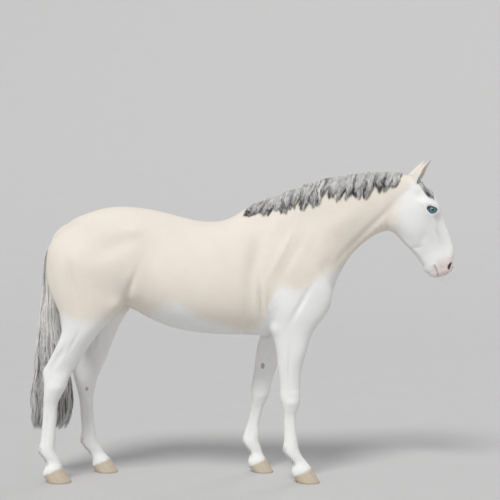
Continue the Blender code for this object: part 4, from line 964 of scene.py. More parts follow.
# each region's own direction of the coat
lie = dict(trunk=(-0.90, 0, -0.42), neck=(-0.62, 0, -0.78), head=(0.36, 0, -0.93), legs=(-0.10, 0, -1.0))


# the way the coat lies: the regions' directions mixed by share and laid along the surface
def lieAt(p, normal):
    way = sum(share[:, None] * np.array(way) for share, way in zip(regionsAt(p), lie.values()))
    return alongSurface(way, normal)


onSkin = 0.0025        # a place closer to the field's surface than this counts as on the skin


# how hollow the surface is, which sets the painted shade in hollows: how much nearer than 25 mm the skin is,
# 25 mm out along the normal
def hollowShadeAt(p, normal, reach=0.025):
    value, _ = readField(skinField, skinAxes, p + normal * reach)
    return np.clip(1 - value / reach, -1, 1)


# the way the skin faces, from the field's slope; ears and nostril edges keep their own
def facingOf(p, n):
    value, slope = readField(skinField, skinAxes, p)
    smooth = (np.abs(value) < onSkin) & (np.abs(nostrilRing(*p.T)[0] - 1.05) > 0.5)
    return np.where(smooth[:, None], unit(slope), unit(n))


# the values that the skin's finish reads at each point
def markSkin(thing):
    p = pointsOf(thing)
    x, y, z = p.T
    n = facingOf(p, normalsOf(thing))
    thing.data.normals_split_custom_set_from_vertices(n.tolist())
    white, bare = markingsAt(p)
    _, neckShare, headShare, legShare = regionsAt(p)
    hole = nostrilRing(x, nostril["y"] - nostril["outwards"] * (x - nostril["x"]), z)[0]
    # hollow: how deep the skin lies in a hollow, read by the finish to paint shade there
    marks = dict(white=white, bare=bare, chestnut=chestnutAt(p), neckShare=neckShare, headShare=headShare,
                 legShare=legShare, hollow=hollowShadeAt(p, n), lidRing=np.minimum(lidRing(x, y, z)[0], 4),
                 nostrilRing=np.minimum(hole + 3 * (np.abs(y) < 0.02), 4))
    setMarks(thing.data, marks)


# the coat's colours; the grey is painted shade laid into hollows
coatLook = dict(
    cream=(0.86, 0.790, 0.700), deepCream=(0.78, 0.70, 0.605), white=(0.90, 0.90, 0.89),
    shadeGrey=(0.36, 0.35, 0.35), pink=(0.72, 0.54, 0.49), dark=(0.040, 0.035, 0.036), edge=0.042,
)


# the coat's colour: cream with soft cloudy patches, white inside the markings, and grey painted shade in
# hollows
def coatColour(base, hollow):
    k = coatLook
    own = placed(base)
    clouds = noise(base, own, 5.0, 3, 0.55)
    flecks = noise(base, own, 55.0, 2, 0.6)
    sockets = {0: clouds.between(0.42, 0.72) * 0.35, 6: colour(*k["cream"]), 7: colour(*k["deepCream"])}
    cream = base.node("Mix", {"data_type": "RGBA"}, sockets, 2)
    inside = mark(base, "white") + (clouds - 0.5) * 0.10 + (flecks - 0.5) * 0.050
    made = cream.under(colour(*k["white"]), inside.between(-k["edge"], k["edge"]))
    # painted shade: grey laid into the hollows, as the shadow that gathers there
    made = made.under(colour(*k["shadeGrey"]), hollow.between(0.05, 0.75) * 0.50)
    return made.under(colour(1.0, 0.97, 0.93), flecks.between(0.55, 0.85) * 0.12, "MULTIPLY")


# coat colour with painted hollow shade, then bare pink muzzle, dark lid rims, nostrils darkened inside by
# their own lining and painted shade of their depth, and chestnuts; hair streaks and pores as relief
def skinFinish():
    k = coatLook
    material, base, shader = newFinish("shortCoat", Roughness=0.62, Sheen_Weight=0.12, Sheen_Roughness=0.5,
                                       Specular_IOR_Level=0.3)
    own = placed(base)
    bare = mark(base, "bare")
    pores = noise(base, own, 420.0, 2, 0.6)
    blotch = noise(base, own, 34.0, 3, 0.6)
    made = coatColour(base, mark(base, "hollow"))
    made = made.under(colour(*k["pink"]), (bare + (blotch - 0.5) * 0.9).between(0.10, 1.05) * 0.62)
    rim = 1 - mark(base, "lidRing").between(1.22, 1.48)
    made = made.under(colour(*k["dark"]), rim * 0.92)
    # the nostrils' insides: their darker lining and painted shade of their depth
    hole = 1 - mark(base, "nostrilRing").between(0.78, 1.12)
    made = made.under(colour(0.060, 0.030, 0.030), hole * 0.92)
    horny = (mark(base, "chestnut") * (0.3 + blotch * 1.4)).between(0.05, 0.30)
    made = made.under(colour(0.27, 0.235, 0.20), horny * (0.45 + blotch * 0.45))
    feed(shader, "Base Color", made)
    # hair streaks in four lying directions, mixed by region
    hair = {}
    for key, way in lie.items():
        turn = math.degrees(math.atan2(-way[2], way[0]))
        hair[key] = noise(base, placed(base, (0.024, 0.0022, 0.0022), (0, turn, 0)), 1.0, 2, 0.55)
    height = hair["trunk"]
    for key, share in (("neck", "neckShare"), ("head", "headShare"), ("legs", "legShare")):
        share = mark(base, share)
        height = height + share * (hair[key] - height)
    furred = 1 - bare.between(0.35, 0.8)
    height = height * furred + pores * (1 - furred) * 0.6
    swell = noise(base, own, 26.0, 3, 0.5)
    bump = base.node("Bump", {}, {"Strength": 0.35, "Distance": 0.0016, "Height": height + swell * 1.6})
    feed(shader, "Normal", bump)
    feed(shader, "Roughness", 0.66 - bare * 0.12 - rim * 0.30 + (hair["trunk"] - 0.5) * 0.1)
    return material


body = makeSkin()
markSkin(body)
body.data.materials.append(skinFinish())
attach(body, "root")
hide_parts("trunk", "neck", "head", "ear_left", "ear_right", "foreleg_left", "foreleg_right",
            "hindleg_left", "hindleg_right")
print("skin made,", len(body.data.polygons), "faces")

# ---- eyes
eyeLook = dict(iris=0.0212, pupilWide=0.0080, pupilHigh=0.0052, tilt=-16, bulge=0.0012,
               blue=(0.032, 0.145, 0.19), pale=(0.13, 0.36, 0.43), ring=(0.008, 0.035, 0.05),
               outer=(0.42, 0.33, 0.30))


# a ball with its pole at the pupil: rings of growing angle from the line of sight, swelling over the iris
def makeEye(side):
    k = eyeLook
    centre, half = middleOf("eye_right" if side < 0 else "eye_left")
    sight = unit(np.array([0.07, side, -0.04]))
    level = unit(np.cross(np.array([0, 0, 1.0]), sight)) * side
    above = np.cross(sight, level) * side
    theta = np.linspace(0, np.pi, 50)[1:-1]
    phi = np.linspace(0, 2 * np.pi, 64, endpoint=False)
    r = half[1] - 0.0006 + k["bulge"] * np.exp(-(theta / 0.55) ** 4)
    spread = np.stack([np.cos(phi), np.sin(phi)], 1)
    ring = (spread[:, :1] * level + spread[:, 1:] * above)[None]
    along, off = np.cos(theta)[:, None, None], np.sin(theta)[:, None, None]
    rings = centre + r[:, None, None] * (along * sight + off * ring)
    points, quads, tris = capped(rings, centre + sight * r[0], centre - sight * r[-1])
    quads, tris = facingOut(points - centre, quads, tris)
    away = points - centre
    slant = math.radians(k["tilt"])
    u, v = away @ level, away @ above
    across, up = u * math.cos(slant) + v * math.sin(slant), v * math.cos(slant) - u * math.sin(slant)
    front = away @ sight
    return meshFrom("eyeRight" if side < 0 else "eyeLeft", points, quads, tris,
                    dict(across=across, up=up, front=front))


# pupil: an oval; iris: rings of colour with fibres that run out from the pupil, dark at its edge
def eyeFinish():
    k = eyeLook
    material, base, shader = newFinish("eyeGlass", Roughness=0.06, Coat_Weight=1.0, Coat_Roughness=0.02)
    a, b = mark(base, "across"), mark(base, "up")
    far = base.maths("SQRT", a * a + b * b)
    front = mark(base, "front").between(-0.002, 0.004)
    pupil = base.maths("SQRT", (a / k["pupilWide"]) ** 2 + (b / k["pupilHigh"]) ** 2)
    spokes = base.maths("ARCTAN2", b, a)
    vector = base.node("CombineXYZ", {}, {0: spokes * 9.0, 1: far * 160.0, 2: 0.0})
    fibres = noise(base, vector, 1.0, 4, 0.65)
    blotch = noise(base, placed(base), 190.0, 2, 0.5)
    iris = base.node("ValToRGB", {"stops": [(0.25, k["blue"]), (0.75, k["pale"])]},
                     {0: fibres * 0.75 + blotch * 0.25})
    rim = (far + (fibres - 0.5) * 0.0022).between(k["iris"] * 0.76, k["iris"])
    iris = iris.under(colour(*k["ring"]), rim)
    iris = iris.under(colour(*k["ring"]), 1 - pupil.between(1.0, 1.45))
    iris = iris.under(colour(0.004, 0.004, 0.006), 1 - pupil.between(0.94, 1.04))
    white = base.node("ValToRGB", {"stops": [(0.3, k["outer"]), (0.8, (0.55, 0.46, 0.42))]}, {0: blotch})
    white = white.under(colour(0.10, 0.07, 0.065), 1 - mark(base, "front").between(0.010, 0.022))
    made = iris.under(white, 1 - (1 - far.between(k["iris"], k["iris"] * 1.08)) * front)
    feed(shader, "Base Color", made)
    feed(shader, "Roughness", 0.05 + blotch * 0.05)
    return material


eyeGlass = eyeFinish()
for side, node in ((-1, "eye_right"), (1, "eye_left")):
    eye = makeEye(side)
    eye.data.materials.append(eyeGlass)
    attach(eye, "root")
    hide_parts(node)
print("eyes made")

# ---- hooves
# the wall: squarish ovals, narrower at the heel, that rise evenly from the flat sole to the slanted
# coronet and shrink on the way, with growth rings; the last three tuck in under the skin
def makeHoof(node, name):
    k = hoof
    low, high, heel, toeUp = hoofSizes(node)
    toe, heelUp = high[0], low[0]
    mid, wide = (low[1] + high[1]) / 2, (high[1] - low[1]) / 2
    a = np.linspace(0, 2 * np.pi, k["around"], endpoint=False)
    c, s = np.cos(a), np.sin(a)
    c, s = (np.sign(v) * np.abs(v) ** k["square"] for v in (c, s))
    s = s * (1 - k["heelNarrow"] * np.clip(-c, 0, 1) ** 1.6)
    q = np.linspace(0, 1, k["levels"])[:, None]
    back, front = heel + (heelUp - heel) * q, toe + (toeUp - toe) * q
    half = wide * (1 + (k["topWide"] - 1) * q)
    growth = np.sin(q * 52 + 0.7 * np.sin(3 * a)) + 0.6 * np.sin(q * 87 + 1.0)
    rough = k["ring"] * growth * ramp(q, 0.02, 0.10)
    x = (back + front) / 2 + ((front - back) / 2 - k["inset"] + rough) * c
    y = mid + (half - k["inset"] + rough) * s
    level = q * hoofTop(node, x[-1])
    wall = np.stack([x, y, level], -1)
    middle = wall[-1].mean(0)
    tucks = [wall[-1] + (middle - wall[-1]) * t + [0, 0, -k["tuck"] * t * 1.4] for t in (0.10, 0.30, 0.60)]
    sole = wall[0] + (wall[0].mean(0) - wall[0]) * 0.03
    rings = np.concatenate([[sole * [1, 1, 0] + [0, 0, low[2]]], wall, tucks])
    rings[2, :, 2] += k["inset"]        # a narrow bevel round the sole
    points, quads, tris = capped(rings, rings[0].mean(0), rings[-1].mean(0))
    quads, tris = facingOut(points - middle, quads, tris)
    height = np.concatenate([np.repeat(0, k["around"]), np.repeat(q[:, 0], k["around"]),
                             np.repeat(1, 3 * k["around"]), [0, 1]])
    turn = np.concatenate([np.tile(a, len(rings)), [0, 0]])
    marks = dict(rise=height, cosine=np.cos(turn), sine=np.sin(turn))
    return meshFrom(name, points, quads, tris, marks)


# horn: stripes that run down the wall, bands that follow the coronet, paler and waxy at the top, darker
# towards the ground
def hornFinish():
    k = hoof
    material, base, shader = newFinish("hoofHorn", Roughness=0.4, Specular_IOR_Level=0.45)
    rise, c, s = mark(base, "rise"), mark(base, "cosine"), mark(base, "sine")
    striped = base.node("CombineXYZ", {}, {0: c * 15.0, 1: s * 15.0, 2: rise * 0.5})
    stripes = noise(base, striped, 1.6, 4, 0.6)
    banded = base.node("CombineXYZ", {}, {0: c * 0.8, 1: s * 0.8, 2: rise * 9.0})
    bands = noise(base, banded, 1.0, 2, 0.6)
    made = base.node("ValToRGB", {"stops": [(0.25, k["deep"]), (0.5, k["horn"]), (0.75, k["pale"])]},
                     {0: stripes * 0.65 + bands * 0.35})
    made = made.under(colour(0.80, 0.75, 0.66), rise.between(0.84, 0.98) * 0.6)
    # darker towards the ground
    made = made.under(colour(0.22, 0.17, 0.12), (1 - rise.between(0.0, 0.16)) * 0.5)
    feed(shader, "Base Color", made)
    fine = base.node("CombineXYZ", {}, {0: c * 60.0, 1: s * 60.0, 2: rise * 2.0})
    relief = noise(base, fine, 1.0, 3, 0.6) * 0.6 + bands
    bump = base.node("Bump", {}, {"Strength": 0.5, "Distance": 0.0006, "Height": relief})
    feed(shader, "Normal", bump)
    feed(shader, "Roughness", 0.34 + stripes * 0.18)
    return material


hoofHorn = hornFinish()
for name, node in hoofNodes.items():
    wall = makeHoof(node, name)
    wall.data.materials.append(hoofHorn)
    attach(wall, "root")
    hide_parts(node)
print("hooves made")


# ---- long hair
# joins tapering hairs into one mesh: a flat ring of `sides`
# points carried along each path and closed at its tip
def hairMesh(name, paths, wide, facing, marks, patches, flat=0.6, shade=None):
    sides = 3
    count, steps = paths.shape[:2]
    way = unit(np.gradient(paths, axis=1))
    side = unit(np.cross(facing, way))
    up = np.cross(way, side)
    turn = (np.arange(sides) / sides + 0.25) * 2 * np.pi       # the ridge faces out
    ring = np.cos(turn)[:, None] * side[:, :-1, None] + flat * np.sin(turn)[:, None] * up[:, :-1, None]
    rings = paths[:, :-1, None] + ring * wide[:, :-1, None, None]
    points = np.concatenate([rings.reshape(count, -1, 3), paths[:, -1:]], 1)
    each = points.shape[1]
    i, j = (g.ravel() for g in np.meshgrid(np.arange(steps - 2), np.arange(sides), indexing="ij"))
    k, last = np.arange(sides), (steps - 2) * sides
    a, b = i * sides + j, i * sides + (j + 1) % sides
    quads = np.stack([a, b, b + sides, a + sides], 1)
    tips = np.stack([last + k, last + (k + 1) % sides, 0 * k + each - 1], 1)
    ends = np.stack([k[1:-1] * 0, k[2:], k[1:-1]], 1)
    shift = (np.arange(count) * each)[:, None, None]
    quads = (quads[None] + shift).reshape(-1, 4)
    tris = (np.concatenate([tips, ends])[None] + shift).reshape(-1, 3)
    t = np.concatenate([np.repeat(np.arange(steps - 1), sides), [steps - 1]]) / (steps - 1)
    full = {key: np.repeat(value, each) for key, value in marks.items()}
    full["along"] = np.tile(t, count)
    # each hair has its own small patch of the map: its length up, its width across
    u = np.concatenate([np.tile(np.cos(turn) * 0.5, steps - 1), [0]])
    patch = 0.003 * np.stack([u, t - 0.5], -1)
    flow = np.clip((0.01 + 0.98 * np.clip(patches, 0, 1)[:, None] + patch).reshape(-1, 2), 0, 1)
    made = meshFrom(name, points.reshape(-1, 3), quads, tris, full, ("OFBake", flow))
    if shade is not None:         # short tufts take the light as the skin under them does
        made.data.normals_split_custom_set_from_vertices(np.repeat(shade, each, axis=0).tolist())
    return made


# the way out of the skin at places near it
def outwardAt(paths):
    _, slope = readField(skinField, skinAxes, paths.reshape(-1, 3))
    return unit(slope).reshape(paths.shape)


# hairs gathered into locks: each keeps its own place at the root
# and nears its lock's middle line towards the tip
def gathered(own, lock, t, hold):
    share = hold * ramp(t, 0.05, 0.9)[None, :, None]
    return own * (1 - share) + lock * share


mane = dict(
    locks=86, hairs=25, steps=16, width=0.0013, lean=0.050, sweep=1.3, wave=0.0075, waves=1.3, lift=0.013,
    tone=0.62, hold=0.55, reach=0.085,
    # each layer: seed, bunches, least and most height in the hair, length
    under=(4, 12, 0.0, 0.55, 1.0), over=(5, 17, 0.45, 1.0, 0.90),
    # along the crest: x, its height, and how far the hair hangs
    withers=(0.085, 1.641, 0.100), start=(0.170, 1.680, 0.116), low=(0.300, 1.722, 0.124),
    middle=(0.480, 1.786, 0.142), high=(0.660, 1.828, 0.152), upper=(0.820, 1.848, 0.142),
    end=(0.980, 1.846, 0.098),
)


# each hair starts on the crest, rolls over it and leans back as it falls on the right
# side; hairs gather into locks, and locks into bunches that end in points
def maneHair(name, layer):
    k = mane
    seed, bunches, lowest, highest, length = k[layer]
    draw = np.random.default_rng(seed)
    rows = np.array([v for v in k.values() if isinstance(v, tuple) and len(v) == 3])
    low, high = rows[0, 0], rows[-1, 0]
    t = np.linspace(0, 1, k["steps"])
    gap = (high - low) / bunches
    bunchX = low + (np.arange(bunches) + 0.5 + draw.uniform(-0.42, 0.42, bunches)) * gap
    bunchLong, bunchPhase = draw.uniform(0.84, 1.14, bunches), draw.uniform(0, 1, bunches)
    bunchLean = draw.normal(1, 0.22, bunches)
    lockX = np.linspace(low, high, k["locks"]) + draw.normal(0, 0.003, k["locks"])
    near = np.abs(lockX[:, None] - bunchX).argmin(1)
    off = (lockX - bunchX[near]) / gap
    pointed = 1.02 - 0.45 * np.minimum(off ** 2, 0.6)        # each bunch ends in a point
    lockLong = bunchLong[near] * pointed * draw.uniform(0.86, 1.06, k["locks"])
    lockPhase = bunchPhase[near] + draw.normal(0, 0.16, k["locks"])
    # each lock's grey at random, with painted light in the middle of its bunch and painted shade at its sides
    lockTone = draw.normal(k["tone"], 0.15, k["locks"]) + 0.08 * np.cos(off * 6)
    which = np.repeat(np.arange(k["locks"]), k["hairs"])
    n = len(which)
    x0 = lockX[which] + draw.normal(0, 0.0065, n)
    depth = draw.uniform(lowest, highest, n)

    # down each hair: back and into its bunch along the neck, over the crest, then down its right side
    def path(x, long, phase, off, lean, depth, across):
        x = high - np.abs(high - low - np.abs(x - low))      # past an end of the crest it turns back
        crest, drop = (splineThrough(rows[:, 0], rows[:, c], x) for c in (1, 2))
        fall = (drop * long)[:, None] * 1.04 * length * t
        swept = lean * drop / 0.14 * (1 + k["sweep"] * (1 - ramp(x, low, 0.34)))
        back = k["lean"] * swept[:, None] * (1 - np.exp(-2.4 * t))
        gather = 0.45 * gap * off[:, None] * ramp(t, 0.3, 1)
        sway = k["wave"] * np.sin(2 * np.pi * (k["waves"] * t + phase[:, None])) * ramp(t, 0.05, 0.7)
        px = x[:, None] - back - gather + sway
        pz = crest[:, None] + 0.004 - fall
        py = across[:, None] * (1 - ramp(t, 0, 0.3)) - k["reach"] * np.sqrt(t)
        over = depth[:, None] * k["lift"]
        height = -0.003 + (0.006 + 0.7 * over) * ramp(t, 0.0, 0.16)
        height = height + 0.6 * over * np.sin(np.pi * (t * 1.7 + phase[:, None])) ** 2 * (1 - 0.5 * t)
        return laidOn(np.stack([px, py, pz], -1), height)

    long, phase = lockLong[which] * draw.uniform(0.74, 1.05, n), lockPhase[which] + draw.normal(0, 0.05, n)
    lean, across = bunchLean[near][which] + draw.normal(0, 0.08, n), draw.uniform(-0.010, 0.016, n)
    hairs = path(x0, long, phase, off[which], lean, depth, across)
    amid = np.full(k["locks"], 0.5 * (lowest + highest))
    lines = path(lockX, lockLong, lockPhase, off, bunchLean[near], amid, 0 * lockX)
    paths = gathered(hairs, lines[which], t, k["hold"])
    # painted shade: hairs lying deeper under the others, and those between bunches, are darker
    tone = lockTone[which] + draw.normal(0, 0.22, n) + 0.30 * (depth - 0.55)
    tone = tone - 0.9 * np.minimum(off[which] ** 2, 0.2)
    wide = k["width"] * draw.uniform(0.6, 1.3, n)[:, None] * (1.0 - 0.75 * t ** 2)
    spot = np.stack([(x0 - low) / (high - low), depth], 1)
    return hairMesh(name, paths, wide, outwardAt(paths), dict(tone=np.clip(tone, 0, 1)), spot)


longHairLook = dict(white=(0.86, 0.85, 0.83), silver=(0.50, 0.50, 0.50), dark=(0.035, 0.035, 0.038))


# silver-white hair with dark hairs among it: tone picks the hair's grey, with the painted shade of the
# undersides in it, and painted shade darkens the tips while painted light brightens the roots
def longHairFinish():
    k = longHairLook
    material, base, shader = newFinish("longHair", Roughness=0.42, Specular_IOR_Level=0.4)
    own = placed(base, (0.04, 0.04, 0.16))
    streak = noise(base, own, 1.0, 3, 0.6)
    along = mark(base, "along")
    # painted shade towards the tips and painted light at the roots
    tone = mark(base, "tone") + (streak - 0.5) * 0.5 - along.between(0.35, 1.0) * 0.26 \
        + (1 - along.between(0, 0.4)) * 0.14
    stops = [(0.10, k["dark"]), (0.34, k["silver"]), (0.60, k["white"])]
    made = base.node("ValToRGB", {"stops": stops}, {0: tone})
    feed(shader, "Base Color", made)
    fine, bump = fineLines(base, (0.0012, 0.0012, 0.016), 0.35, 0.0005)
    feed(shader, "Normal", bump)
    feed(shader, "Roughness", 0.36 + fine * 0.16)
    return material


longHair = longHairFinish()


# gives the long hair its finish and its place in the frame
def addLongHair(thing, node):
    thing.data.materials.append(longHair)
    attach(thing, "root")
    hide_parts(node)
    print(thing.name, len(thing.data.polygons), "faces")


addLongHair(maneHair("maneUnder", "under"), "mane")
addLongHair(maneHair("maneOver", "over"), "mane")

forelock = dict(x=1.066, z=1.822, tipX=1.196, tipZ=1.676, wide=0.058, sweep=0.066, aside=0.042,
                locks=15, hairs=60, steps=12, width=0.0011, wave=0.004, waves=1.2, swing=0.006)


# hairs from the poll between the ears, down the forehead, nearing the middle and swept to the right
def forelockHair(seed):
    k, draw = forelock, np.random.default_rng(seed)
    t = np.linspace(0, 1, k["steps"])
    lockAt = np.linspace(-1, 1, k["locks"])
    which = np.repeat(np.arange(k["locks"]), k["hairs"])
    n = len(which)
    across = lockAt[which] + draw.normal(0, 0.12, n)
    lockLong = (1.08 - 0.36 * np.abs(lockAt + 0.3) ** 1.4) * draw.uniform(0.90, 1.0, k["locks"])
    long = lockLong[which] * draw.uniform(0.84, 1.0, n)
    phase, layer = draw.uniform(0, 1, k["locks"])[which], draw.uniform(0, 1, n)
    s = t[None, :] * long[:, None]
    turns = k["waves"] * t + phase[:, None]
    px = k["x"] + (k["tipX"] - k["x"]) * s + k["wave"] * np.sin(2 * np.pi * turns) * t
    pz = k["z"] + (k["tipZ"] - k["z"]) * s + k["wave"] * np.sin(2 * np.pi * (turns + 0.3)) * t
    py = k["wide"] * across[:, None] * (1 - 0.55 * s) - k["sweep"] * s \
        + k["swing"] * np.sin(2 * np.pi * (t + phase[:, None])) * t
    px = px - k["aside"] * np.clip(-py / 0.07, 0, 1.2) ** 1.3 * ramp(s, 0.0, 0.7)
    arch = np.sin(np.pi * np.clip(t * 1.2 + 0.05, 0, 0.92)) ** 0.6
    height = -0.003 + (0.004 + 0.009 * layer[:, None]) * arch
    paths = laidOn(np.stack([px, py, pz], -1), height)
    tone = np.clip(0.58 + 0.25 * np.cos(lockAt[which] * 5) + draw.normal(0, 0.22, n), 0, 1)
    wide = k["width"] * draw.uniform(0.6, 1.25, n)[:, None] * (1.0 - 0.75 * t ** 2)
    spot = np.stack([0.5 + 0.4 * across, layer], 1)
    return hairMesh("forelockHair", paths, wide, outwardAt(paths), dict(tone=tone), spot)


addLongHair(forelockHair(7), "forelock")

tail = dict(
    locks=95, hairs=17, steps=21, width=0.0016, wave=0.0125, waves=4.2, dockLow=1.14, dockHigh=1.50,
    tone=0.86, tips=0.285, ragged=0.34, hold=0.74,
    # each layer: seed, and the least and most share of the oval that its hairs hang at
    layers=dict(tailOuter=(11, 0.85, 1.0), tailMiddle=(12, 0.6, 0.95), tailInner=(13, 0.1, 0.7)),
    # up the tail: height, rear x, front x, half width
    end=(0.270, -1.262, -1.070, 0.050), switch=(0.400, -1.284, -1.022, 0.074),
    low=(0.550, -1.275, -1.028, 0.080), hock=(0.700, -1.256, -1.054, 0.080),
    middle=(0.850, -1.242, -1.088, 0.074), upper=(1.000, -1.224, -1.110, 0.066),
    high=(1.150, -1.209, -1.120, 0.057), dock=(1.300, -1.205, -1.122, 0.049),
    dockTop=(1.400, -1.187, -1.098, 0.042), root=(1.490, -1.140, -1.056, 0.030),
)


# a place in the tail's oval at a height, by its share along and across it
def tailPlace(a, b, z):
    rows = np.array(sorted(v for v in tail.values() if isinstance(v, tuple)))
    back, front, half = (splineThrough(rows[:, 0], c, z) for c in rows.T[1:])
    return np.stack([(back + front) / 2 + (front - back) / 2 * a, half * b, z], -1)


# each hair leaves the dock, turns out to its own share of the oval and falls in waves to a ragged end; hairs
# gather into locks
def tailHair(name, seed, inner, outer):
    k, draw = tail, np.random.default_rng(seed)
    t = np.linspace(0, 1, k["steps"])
    turn = draw.uniform(0, 2 * np.pi, k["locks"])
    ring = np.sqrt(draw.uniform(inner ** 2, outer ** 2, k["locks"]))
    top = draw.uniform(k["dockLow"], k["dockHigh"], k["locks"])
    low = k["tips"] + k["ragged"] * draw.uniform(0, 1, k["locks"]) ** 2.6
    phase = 0.30 * np.sin(turn) + 0.22 * np.sin(3 * turn + 1) + 0.8 * ring + draw.normal(0, 0.07, k["locks"])
    tones = draw.normal(k["tone"], 0.20, k["locks"])
    which = np.repeat(np.arange(k["locks"]), k["hairs"])
    n = len(which)
    spreadA, spreadB = draw.normal(0, 0.10, n), draw.normal(0, 0.10, n)

    # down each hair: out from the dock to its share of the oval, with waves that grow, clear of the skin
    def path(turn, ring, top, low, phase, da, db):
        z = top[:, None] + (low - top)[:, None] * t ** 0.92
        spread = 0.70 + 0.30 * ramp(t, 0.0, 0.30)
        reach = np.minimum(ring[:, None] * spread, 0.96)
        a = np.cos(turn)[:, None] * reach + da[:, None] * spread
        b = np.sin(turn)[:, None] * reach + db[:, None] * spread
        size = np.maximum(np.hypot(a, b), 1)
        place = tailPlace(a / size, b / size, z)
        sway = k["wave"] * ramp(t, 0.12, 0.8)
        wave = 2 * np.pi * (k["waves"] * t[None, :] + phase[:, None])
        place[..., 0] += sway * np.sin(wave) * (1 - 0.5 * np.abs(a / size))
        place[..., 1] += sway * np.cos(wave + 1.3) * 0.8
        place = clearOf(place, 0.002 + 0.010 * ring[:, None] * ramp(t, 0, 0.2))
        root = laidOn(place[:, 0], -0.003) - place[:, 0]     # the topmost hairs grow out of the croup
        return place + root[:, None] * ((1 - ramp(t, 0, 0.16)) * ramp(top, 1.38, 1.44)[:, None])[..., None]

    short = np.maximum(draw.uniform(-0.03, 0.05, n), -0.01)
    hairs = path(turn[which], ring[which], top[which] + draw.normal(0, 0.02, n), low[which] + short,
                 phase[which] + draw.normal(0, 0.03, n), spreadA, spreadB)
    lines = path(turn, ring, top, low, phase, 0 * turn, 0 * turn)
    paths = gathered(hairs, lines[which], t, k["hold"])
    core = tailPlace(0, 0, paths[..., 2])
    facing = unit(paths - core + [0, 0, 1e-4])
    tone = np.clip(tones[which] + draw.normal(0, 0.22, n), 0, 1)
    wide = k["width"] * draw.uniform(0.6, 1.3, n)[:, None] * (1.0 - 0.7 * t ** 2)
    spot = np.stack([turn[which] / (2 * np.pi), (top[which] - k["dockLow"]) / 0.34], 1)
    spot = spot + draw.normal(0, 0.02, (n, 2))
    return hairMesh(name, paths, wide, facing, dict(tone=tone), spot)


for name, layer in tail["layers"].items():
    addLongHair(tailHair(name, *layer), "tail")

# ---- short coat: flat tufts laid along the skin, closer and longer at belly, fetlocks and coronets
# each kind: how many to a square metre, length, half width, how far the tips stand off, and how far they
# turn downwards
coat = dict(
    steps=4, ears=3000, lashes=44, whiskers=2600, eyeWhiskers=1600,
    trunk=(2900, 0.019, 0.0011, 0.0, 0), neck=(2700, 0.017, 0.0010, 0.0, 0),
    head=(2600, 0.008, 0.0005, 0.0, 0), legs=(3000, 0.012, 0.0007, 0.0, 0),
    belly=(9000, 0.022, 0.0009, 0.0005, 0.3), breast=(5000, 0.019, 0.0009, 0.0002, 0.2),
    cannon=(14000, 0.014, 0.0007, 0.0007, 0), fetlock=(60000, 0.027, 0.0007, 0.0065, 0.2),
    coronet=(105000, 0.015, 0.0006, 0.0025, 0), jaw=(11000, 0.013, 0.0006, 0.0007, 0.2),
    chin=(14000, 0.010, 0.0004, 0.0015, 0.2),
)


# height of a place over the slanted top edge of the hoof below it
def overHoof(p):
    x, y, z = p.T
    over = np.full(len(p), 1.0)
    for node in hoofNodes.values():
        low, high, _, _ = hoofSizes(node)
        inside = (np.abs(x - (low[0] + high[0]) / 2) < 0.12) & (y * low[1] > 0) & (z < 0.2)
        over = np.where(inside, z - hoofTop(node, x), over)
    return over


# share of each kind of tuft at a place, from its region, the way
# the skin faces and its height; they don't overlap
def kindsAt(p, n):
    x, _, z = p.T
    ahead, _, up = n.T
    trunkShare, neckShare, headShare, legShare = regionsAt(p)
    over = overHoof(p)
    share = dict(
        coronet=ramp(over, 0.000, 0.003) * (1 - ramp(over, 0.008, 0.014)),
        fetlock=ramp(-ahead, 0.15, 0.6) * ramp(z, 0.105, 0.135) * (1 - ramp(z, 0.20, 0.235)) * (over > 0.014),
        cannon=ramp(-ahead, 0.5, 0.85) * ramp(z, 0.22, 0.25) * (1 - ramp(z, 0.80, 0.90)),
        chin=ramp(-up, 0.2, 0.6) * ramp(x, 1.05, 1.09) * (1 - ramp(z, 1.27, 1.32)) * ramp(z, 1.0, 1.1),
        jaw=ramp(-up, 0.35, 0.7) * ramp(x, 0.62, 0.72) * (1 - ramp(x, 1.04, 1.10)),
        belly=ramp(-up, 0.55, 0.85) * (x < 0.25) * ramp(x, -0.80, -0.70) * ramp(z, 0.80, 0.86),
        breast=ramp(ahead, 0.3, 0.7) * (x > 0.3) * (x < 0.72) * ramp(z, 0.86, 0.92)
        * (1 - ramp(z, 1.30, 1.40)),
    )
    left = np.prod([1 - v for v in share.values()], axis=0) * (over > 0.0)
    share.update(trunk=left * trunkShare, neck=left * neckShare, head=left * headShare, legs=left * legShare)
    return share


# places strewn over a surface's faces, as many to a square metre as `rate` says at each face's middle
def strewn(thing, rate, draw):
    thing.data.calc_loop_triangles()
    corner = readRows(thing.data.loop_triangles, "vertices", 3, np.int32)
    p, n = pointsOf(thing)[corner], normalsOf(thing)[corner]
    area = 0.5 * np.linalg.norm(np.cross(p[:, 1] - p[:, 0], p[:, 2] - p[:, 0]), axis=1)
    which = np.repeat(np.arange(len(corner)), draw.poisson(area * rate(p.mean(1), unit(n.mean(1)))))
    u, v = draw.uniform(0, 1, (2, len(which), 1))
    u, v = np.where(u + v > 1, 1 - u, u), np.where(u + v > 1, 1 - v, v)
    return tuple(c[which, 0] * (1 - u - v) + c[which, 1] * u + c[which, 2] * v for c in (p, n))


# unwrap of the skin: how far along a part's axis a place lies and its angle round it, both from 0 to 1
def unwrapped(p, start, end):
    start, end = np.array(start), np.array(end)
    flat = p[:, [0, 2]] - start
    long = np.linalg.norm(end - start)
    way = (end - start) / long
    off = flat[:, 1] * way[0] - flat[:, 0] * way[1]
    return np.stack([np.clip(flat @ way / long, 0, 1), np.arctan2(p[:, 1], off) / (2 * np.pi) + 0.5], 1)


